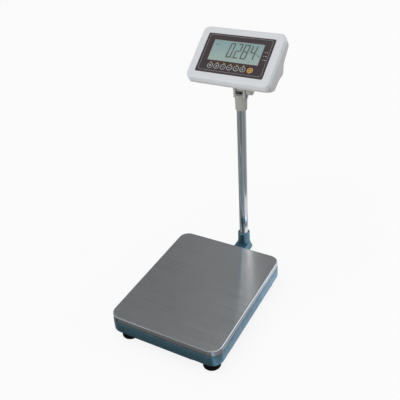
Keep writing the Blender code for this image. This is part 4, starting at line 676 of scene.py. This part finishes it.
def plate(name, outlines, bottom, top, place):
    """Flat outlines, where one inside another is a hole, filled and given a thickness."""
    curve = bpy.data.curves.new(name, "CURVE")
    curve.dimensions = "2D"
    curve.fill_mode = "BOTH"
    curve.extrude = (top - bottom) / 2
    for outline in outlines:
        spline = curve.splines.new("POLY")
        spline.points.add(len(outline) - 1)
        for point, (x, y) in zip(spline.points, outline):
            point.co = (x, y, 0.0, 1.0)
        spline.use_cyclic_u = True
    drawn_curve = add_object(name, curve)
    depsgraph = bpy.context.evaluated_depsgraph_get()
    mesh = bpy.data.meshes.new_from_object(drawn_curve.evaluated_get(depsgraph))
    bpy.data.objects.remove(drawn_curve, do_unlink=True)
    bm = bmesh.new()
    bm.from_mesh(mesh)
    bmesh.ops.remove_doubles(bm, verts=bm.verts, dist=0.000002)
    lift = Matrix.Translation((0, 0, (top + bottom) / 2))
    bmesh.ops.transform(bm, matrix=place @ lift, verts=bm.verts)
    return shaded(name, bm)


def even_shading(piece):
    piece.modifiers.new("even_shading", "WEIGHTED_NORMAL").keep_sharp = True


def nearest_core(point, low, high, margin):
    """The nearest point of a rectangle that is drawn in by a margin, seen in plan."""
    return Vector([min(max(point[axis], low[axis] + margin), high[axis] - margin)
                   for axis in range(2)])


def show(name, mesh, finish, slot, body, *stands_for):
    """Put a mesh in the scene as a piece that rides on a body."""
    shown = add_object(name, mesh)
    mesh.materials.clear()
    mesh.materials.append(finish)
    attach(shown, body)
    if stands_for:
        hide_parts(*stands_for)
    even_shading(shown)


print("helpers ready")

# %% [markdown]
# Most small pieces come from the measured model as they are: their shape is right, and only the
# edges are too crisp. Four modifiers give them the soft edge of a real part: the triangles are
# welded, flat areas are merged into single faces, the sharp edges are rounded, and the shading is
# evened out. The casting's upper edge is rounder than the rest, as a fettled edge is, so its points
# go into a vertex group first, and a rounding of its own works on that group.
# %% Dress the measured pieces
RIM = "rim"
RIM_RADIUS = 0.0010
RIM_CORE = 0.030
RIM_REACH = 0.027
LEVEL_PLAY = 0.0001

base_node = nodes["base_casting"]
outer = []
for vertex in base_node.data.vertices:
    core = nearest_core(vertex.co, base_low, base_high, RIM_CORE)
    at_top = vertex.co.z > base_high.z - LEVEL_PLAY
    if at_top and (vertex.co.xy - core).length > RIM_REACH:
        outer.append(vertex.index)
base_node.vertex_groups.new(name=RIM).add(outer, 1.0, "REPLACE")
print("points of the base's rim:", len(outer))


def dress(node, edge):
    """Give a measured piece its finish and soft edges."""
    data = node.data
    data.materials[0] = FINISHES[data.materials[0].name.split(".")[0]]
    for layer in ("custom_normal", "sharp_edge", "sharp_face"):
        if layer in data.attributes:
            data.attributes.remove(data.attributes[layer])
    weld = node.modifiers.new("weld", "WELD")
    weld.merge_threshold = 0.00001
    flats = node.modifiers.new("merge_flats", "DECIMATE")
    flats.decimate_type = "DISSOLVE"
    flats.angle_limit = math.radians(1)
    if RIM in node.vertex_groups:
        rim = node.modifiers.new("round_rim", "BEVEL")
        rim.width = RIM_RADIUS
        rim.segments = 4
        rim.limit_method = "VGROUP"
        rim.vertex_group = RIM
        rim.use_clamp_overlap = False
    if edge:
        soften = node.modifiers.new("soft_edges", "BEVEL")
        soften.width = edge
        soften.segments = 3
        soften.limit_method = "ANGLE"
        soften.angle_limit = math.radians(40)
        soften.harden_normals = True
    even_shading(node)


EDGES = {"base_casting": 0.0007, "column_bracket": 0.0010, "column_head": 0.0006,
         "tilt_bracket": 0.0006, "rear_shell": 0.0030, "tilt_knob": 0.0005,
         "load_cell": 0.0003, "pan_support": 0.0008, "battery_pack": 0.0}
PLAIN_EDGE = 0.0002
for name, node in nodes.items():
    dress(node, EDGES.get(name, PLAIN_EDGE))
print("dressed", len(nodes), "measured pieces")

# %% [markdown]
# The pan is a tray turned upside down. Its loops run from the underside, down inside the skirt,
# round the hem, up the outside and over the folded edge. The UV map unfolds the skirt outwards,
# so that the brushed lines run on over the fold as they do on bent sheet.
# %% Weighing pan
PAN_CORNER = 0.028
PAN_EDGE = 0.0026
PAN_SHEET = 0.0015
HEM = 0.0004

profile = [(PAN_EDGE + PAN_SHEET, pan_high.z - PAN_SHEET), (PAN_EDGE, pan_high.z - PAN_SHEET)]
profile += arc((PAN_EDGE, pan_high.z - PAN_EDGE), PAN_EDGE - PAN_SHEET, 90, 180, 4)[1:]
profile += [(PAN_SHEET, pan_low.z + HEM), (PAN_SHEET - HEM, pan_low.z),
            (HEM, pan_low.z), (0.0, pan_low.z + HEM)]
profile += arc((PAN_EDGE, pan_high.z - PAN_EDGE), PAN_EDGE, 180, 90, 8)
profile += [(PAN_EDGE + PAN_SHEET, pan_high.z)]
pan_mesh = loft("weighing_pan_tray", [rounded_ring(pan_low, pan_high, PAN_CORNER, inset, level)
                                      for inset, level in profile])


def unfold(point):
    """Where a point of the pan lay on the flat sheet before the skirt was folded."""
    away = point.xy - nearest_core(point, pan_low, pan_high, PAN_CORNER)
    fall = pan_high.z - point.z
    flat = point.xy + (away.normalized() * fall if away.length > 0 else Vector((0, 0)))
    return flat.y, flat.x


grain_layer = pan_mesh.uv_layers.new(name=GRAIN_MAP)
for loop in pan_mesh.loops:
    grain_layer.data[loop.index].uv = unfold(pan_mesh.vertices[loop.vertex_index].co)
show("weighing_pan_tray", pan_mesh, FINISHES["pan_steel"], "pan_steel", "pan", "weighing_pan")
print("pan:", len(pan_mesh.polygons), "faces")

# %% [markdown]
# The film, the bezel behind it and the parts that look out through them share their openings: one
# for the display, seven for the keys and three for the lamps. They are worked out once, from the
# measured pieces, and a cutter made of them opens the bezel.
# %% Openings for the display, keys and lamps
KEYS = [f"key_{number}" for number in range(1, 7)] + ["power_key"]
LAMPS = [f"status_lamp_{number}" for number in range(1, 4)]
CLEARANCE = 0.0003
KEY_RADIUS = 0.0075
LAMP_RADIUS = 0.0015


def middle(node):
    """Where a round piece of the face has its axis, seen from the front."""
    low, high = measure(node, FACE)
    return (low + high).xy / 2


def disc(centre, radius, sides=48):
    return [(centre.x + x, centre.y + y) for x, y in arc((0, 0), radius, 0, 360, sides)[:-1]]


def carve(mesh, cutter):
    """The mesh with another one cut out of it."""
    pieces = [add_object(data.name, data) for data in (mesh, cutter)]
    step = pieces[0].modifiers.new("carve", "BOOLEAN")
    step.object = pieces[1]
    depsgraph = bpy.context.evaluated_depsgraph_get()
    carved = bpy.data.meshes.new_from_object(pieces[0].evaluated_get(depsgraph))
    for piece in pieces:
        bpy.data.objects.remove(piece, do_unlink=True)
    carved.set_sharp_from_angle(angle=SHARP_TURN)
    return carved


window_low = lcd_low.xy - Vector((CLEARANCE, CLEARANCE))
window_high = lcd_high.xy + Vector((CLEARANCE, CLEARANCE))
openings = [rounded_loop(window_low, window_high, 0.0006)]
openings += [disc(middle(key), KEY_RADIUS + CLEARANCE) for key in KEYS]
openings += [disc(middle(lamp), LAMP_RADIUS + CLEARANCE, 24) for lamp in LAMPS]
print("openings:", len(openings))

# %% [markdown]
# The bezel is the pale frame round the display. One stack of loops draws it: up the drafted side,
# round the front edge, across the front, down into the recess that holds the film, and back along
# the inside of the wall.
# %% Front bezel
HOUSING_CORNER = 0.015
HOUSING_DRAFT = 0.0012
BEZEL_EDGE = 0.004
BEZEL_WALL = 0.0026
FILM_CORNER = 0.004
RECESS = 0.0014
BEZEL_DEPTH = 0.014

bezel_low, bezel_high = measure("front_bezel", FACE)
film_low, film_high = measure("display_overlay", FACE)
parting = bezel_high.z - BEZEL_DEPTH
floor_back = -RECESS - BEZEL_WALL
rings = []
for inset, level in ([(BEZEL_WALL + 0.0050, floor_back), (BEZEL_WALL + 0.0045, floor_back),
                      (BEZEL_WALL + HOUSING_DRAFT, floor_back - 0.003), (BEZEL_WALL, parting),
                      (0.0004, parting), (0.0, parting + 0.0004)]
                     + arc((HOUSING_DRAFT + BEZEL_EDGE, -BEZEL_EDGE), BEZEL_EDGE, 180, 90, 10)):
    rings.append(rounded_ring(bezel_low, bezel_high, HOUSING_CORNER, inset, level))
for inset, level in [(-0.0016, 0.0), (-0.0008, 0.0), (-0.0004, -0.0001), (-0.0003, -0.0005),
                     (-0.0003, -RECESS)]:
    rings.append(rounded_ring(film_low, film_high, FILM_CORNER, inset, level))
bezel_mesh = carve(loft("bezel_frame", rings, FACE),
                   plate("opening_cutter", openings, -0.010, 0.004, FACE))
show("bezel_frame", bezel_mesh, FINISHES["housing_plastic"], "housing_plastic", "indicator",
     "front_bezel")
print("bezel:", len(bezel_mesh.polygons), "faces")

# %% [markdown]
# The keypad film is one printed sheet. A fine silver line runs round it, and short plain bars stand
# where a real one has its labels. Each print is a plate a few hundredths of a millimetre thick,
# lying on the film.
# %% Keypad film and its prints
PRINT = 0.00005


def bar(x, y, width, height, slant=0.0):
    """Outline of a small upright or slanted block of print, from its middle."""
    lean = slant * height / 2
    return [(x - width / 2 - lean, y - height / 2), (x + width / 2 - lean, y - height / 2),
            (x + width / 2 + lean, y + height / 2), (x - width / 2 + lean, y + height / 2)]


film_mesh = plate("keypad_film",
                  [rounded_loop(film_low.xy, film_high.xy, FILM_CORNER)] + openings,
                  film_low.z, film_high.z, FACE)
show("keypad_film", film_mesh, FINISHES["overlay_film"], "overlay_film", "indicator",
     "display_overlay")


def printed(name, outlines, ink, level, slot="overlay_film"):
    """Flat print that lies on a surface at a level."""
    mesh = plate(name, outlines, level - PRINT, level + PRINT, FACE)
    show(name, mesh, INKS[ink], slot, "indicator")


line_low, line_high = Vector((-0.0830, -0.0490)), Vector((0.0830, 0.0515))
line_width = Vector((0.0005, 0.0005))
printed("silver_outline", [rounded_loop(line_low, line_high, 0.0055),
                           rounded_loop(line_low + line_width, line_high - line_width, 0.0050)],
        "silver_ink", film_high.z)
key_row = middle("key_1").y
labels = [bar(middle(key).x, key_row + 0.0094, width, 0.0012)
          for key, width in zip(KEYS, (0.0052, 0.0060, 0.0048, 0.0056, 0.0048, 0.0056))]
printed("key_labels", labels, "yellow_ink", film_high.z)
printed("lamp_labels", [bar(middle(lamp).x + 0.0062, middle(lamp).y, 0.0042, 0.0010)
                        for lamp in LAMPS], "pale_ink", film_high.z)
print("film and prints done")

# %% [markdown]
# Under each round of the film lies a key: a shallow dome on a stem that reaches its switch. A
# pale ring and a plain sign are printed on it, and they move with the key when it is pressed. The
# signs are drawn in millimetres from the key's middle.
# %% Keys
def ring_print(name, inner, outer, place, ink, key, height):
    mesh = turned(name, [(inner, -PRINT), (outer, -PRINT - 0.0001), (outer, PRINT - 0.0001),
                         (inner, PRINT)], place @ Matrix.Translation((0, 0, height)), 64, True)
    show(name, mesh, INKS[ink], key_slot(key), key)


def key_slot(key):
    return "power_key_film" if key == "power_key" else "key_film"


def arrow(side):
    """A small arrow that points to one side, from 0.4 to 2.8 mm away from the middle."""
    return [(side * 0.4, 0.35), (side * 1.5, 0.35), (side * 1.5, 1.1), (side * 2.8, 0.0),
            (side * 1.5, -1.1), (side * 1.5, -0.35), (side * 0.4, -0.35)]


origin = Vector((0.0, 0.0))
square = [(-2.0, -2.0), (2.0, -2.0), (2.0, 2.0), (-2.0, 2.0)]
small_square = [(0.62 * x, 0.62 * y) for x, y in square]
open_ring = arc((0, 0), 2.6, 125, 415, 30) + arc((0, 0), 1.9, 415, 125, 30)
SIGNS = {"key_1": [square, small_square], "key_2": [disc(origin, 2.0), disc(origin, 1.1)],
         "key_3": [arrow(1), bar(-1.6, 0, 2.0, 0.7)], "key_4": [arrow(1), arrow(-1)],
         "key_5": [bar(0, 0, 4.6, 0.8)],
         "key_6": [bar(0, 0, 4.6, 0.8), bar(0, 1.7, 1.2, 1.2), bar(0, -1.7, 1.2, 1.2)],
         "power_key": [open_ring, bar(0, 2.2, 0.7, 2.8)]}
MILLIMETRE = 0.001
for key in KEYS:
    low, high = measure(key, FACE)
    crown, stem = high.z, low.z
    place = FACE @ Matrix.Translation((*middle(key), 0.0))
    profile = [(0.00001, crown), (0.0030, crown - 0.00003), (0.0052, crown - 0.00010),
               (0.0068, crown - 0.00022), (0.0073, crown - 0.00034), (KEY_RADIUS, crown - 0.0006),
               (KEY_RADIUS, crown - 0.0011), (0.0025, crown - 0.0011), (0.0025, stem),
               (0.00001, stem)]
    slot = key_slot(key)
    show(f"{key}_dome", turned(f"{key}_dome", profile, place, 48), FINISHES[slot], slot, key, key)
    ink = "power_ink" if key == "power_key" else "pale_ink"
    ring_print(f"{key}_ring", 0.0062, 0.0069, place, ink, key, crown - 0.00013)
    sign = [[(x * MILLIMETRE, y * MILLIMETRE) for x, y in outline] for outline in SIGNS[key]]
    sign_mesh = plate(f"{key}_sign", sign, crown - 0.0001, crown + PRINT, place)
    show(f"{key}_sign", sign_mesh, INKS[ink], slot, key)
print("keys:", len(KEYS))

# %% [markdown]
# The lamps are small domed lenses. The digits lie on the display's glass: each is built of up to
# seven bars with mitred ends, like the real thing, and leans a little to the right.
# %% Lamps and display
for lamp in LAMPS:
    low, high = measure(lamp, FACE)
    dome = [(LAMP_RADIUS * math.sin(a), high.z - LAMP_RADIUS * (1 - math.cos(a)))
            for a in [math.radians(angle) for angle in range(0, 91, 15)]]
    place = FACE @ Matrix.Translation((*middle(lamp), 0.0))
    mesh = turned(f"{lamp}_lens", dome + [(LAMP_RADIUS, low.z), (0.00001, low.z)], place, 24)
    show(f"{lamp}_lens", mesh, FINISHES["lamp_plastic"], "lamp_plastic", "indicator", lamp)

DIGIT_HEIGHT = 0.0415
DIGIT_FOOT = -0.0083
DIGIT_STROKE = 0.0032
DIGIT_GAP = 0.0003
DIGIT_LEAN = math.tan(math.radians(4.5))
BARS_OF = {"0": "abcdef", "2": "abdeg", "4": "bcfg", "8": "abcdefg"}


def digit_bars(width):
    """The seven bars of a digit, each as an outline, from its lower left corner."""
    stroke, half, gap = DIGIT_STROKE, DIGIT_STROKE / 2, DIGIT_GAP
    top, mid = DIGIT_HEIGHT, DIGIT_HEIGHT / 2
    bars = {"d": [(gap, 0), (width - gap, 0), (width - stroke - gap, stroke),
                  (stroke + gap, stroke)],
            "e": [(0, gap), (stroke, stroke + gap), (stroke, mid - half - gap),
                  (half, mid - gap), (0, mid - gap)],
            "g": [(half + gap, mid), (stroke + gap, mid - half), (width - stroke - gap, mid - half),
                  (width - half - gap, mid), (width - stroke - gap, mid + half),
                  (stroke + gap, mid + half)]}
    bars["a"] = [(x, top - y) for x, y in bars["d"]]
    bars["f"] = [(x, top - y) for x, y in bars["e"]]
    bars["b"] = [(width - x, y) for x, y in bars["f"]]
    bars["c"] = [(width - x, y) for x, y in bars["e"]]
    return bars


def lean_over(x, y):
    return x + (y - DIGIT_HEIGHT / 2) * DIGIT_LEAN, y + DIGIT_FOOT


digits = []
for figure, left, width in (("0", -0.0222, 0.0134), ("2", -0.0032, 0.0136),
                            ("8", 0.0150, 0.0148), ("4", 0.0350, 0.0142)):
    bars = digit_bars(width)
    digits += [[lean_over(left + x, y) for x, y in bars[letter]] for letter in BARS_OF[figure]]
digits.append(disc(Vector((-0.0068, DIGIT_FOOT + 0.0012)), 0.0013, 20))
printed("digits", digits, "segment_ink", lcd_high.z, "lcd_film")
printed("faint_marks", [bar(-0.0560, 0.0250, 0.0120, 0.0022), bar(0.0407, -0.0128, 0.0030, 0.0022),
                        bar(0.0530, 0.0088, 0.0032, 0.0040, 0.1),
                        bar(0.0590, 0.0050, 0.0040, 0.0046, 0.1)],
        "faint_ink", lcd_high.z, "lcd_film")
frame_width = Vector((0.0009, 0.0009))
printed("window_border", [rounded_loop(lcd_low.xy, lcd_high.xy, 0.0006),
                          rounded_loop(lcd_low.xy + frame_width, lcd_high.xy - frame_width,
                                       0.0003)], "window_edge", lcd_high.z, "lcd_film")
print("display done:", len(digits), "bars")

# %% [markdown]
# The column and the four rubber feet are turned shapes, drawn here with more sides than the
# measured model has, and with the rounded rims that catch the light.
# %% Column and feet
tube_low, tube_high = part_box("column_tube")
tube_radius = (tube_high.x - tube_low.x) / 2
TUBE_WALL = 0.0015
axis = (tube_low + tube_high) / 2
axis.z = 0.0
bore = tube_radius - TUBE_WALL
tube_profile = [(bore, tube_low.z), (tube_radius - 0.0003, tube_low.z),
                (tube_radius, tube_low.z + 0.0003), (tube_radius, tube_high.z - 0.0003),
                (tube_radius - 0.0003, tube_high.z), (bore, tube_high.z)]
tube_mesh = turned("plated_column", tube_profile, Matrix.Translation(axis), 96, True)
show("plated_column", tube_mesh, FINISHES["column_steel"], "column_steel", "base", "column_tube")

for number in range(1, 5):
    pad_low, pad_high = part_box(f"foot_pad_{number}")
    radius, top = (pad_high.x - pad_low.x) / 2, pad_high.z
    axis = (pad_low + pad_high) / 2
    axis.z = 0.0
    pad_profile = [(0.00001, top - 0.014), (0.0051, top - 0.014), (0.0051, top),
                   (radius - 0.0045, top), (radius - 0.0026, top - 0.0004),
                   (radius - 0.0016, top - 0.0015), (radius - 0.0012, top - 0.0035),
                   (radius - 0.0004, 0.0050), (radius, 0.0032), (radius, 0.0012),
                   (radius - 0.0006, 0.0003), (radius - 0.0014, 0.0), (0.00001, 0.0)]
    pad_mesh = turned(f"foot_rubber_{number}", pad_profile, Matrix.Translation(axis), 48)
    show(f"foot_rubber_{number}", pad_mesh, FINISHES["rubber"], "rubber", f"foot_{number}",
         f"foot_pad_{number}")
print("column and feet done")
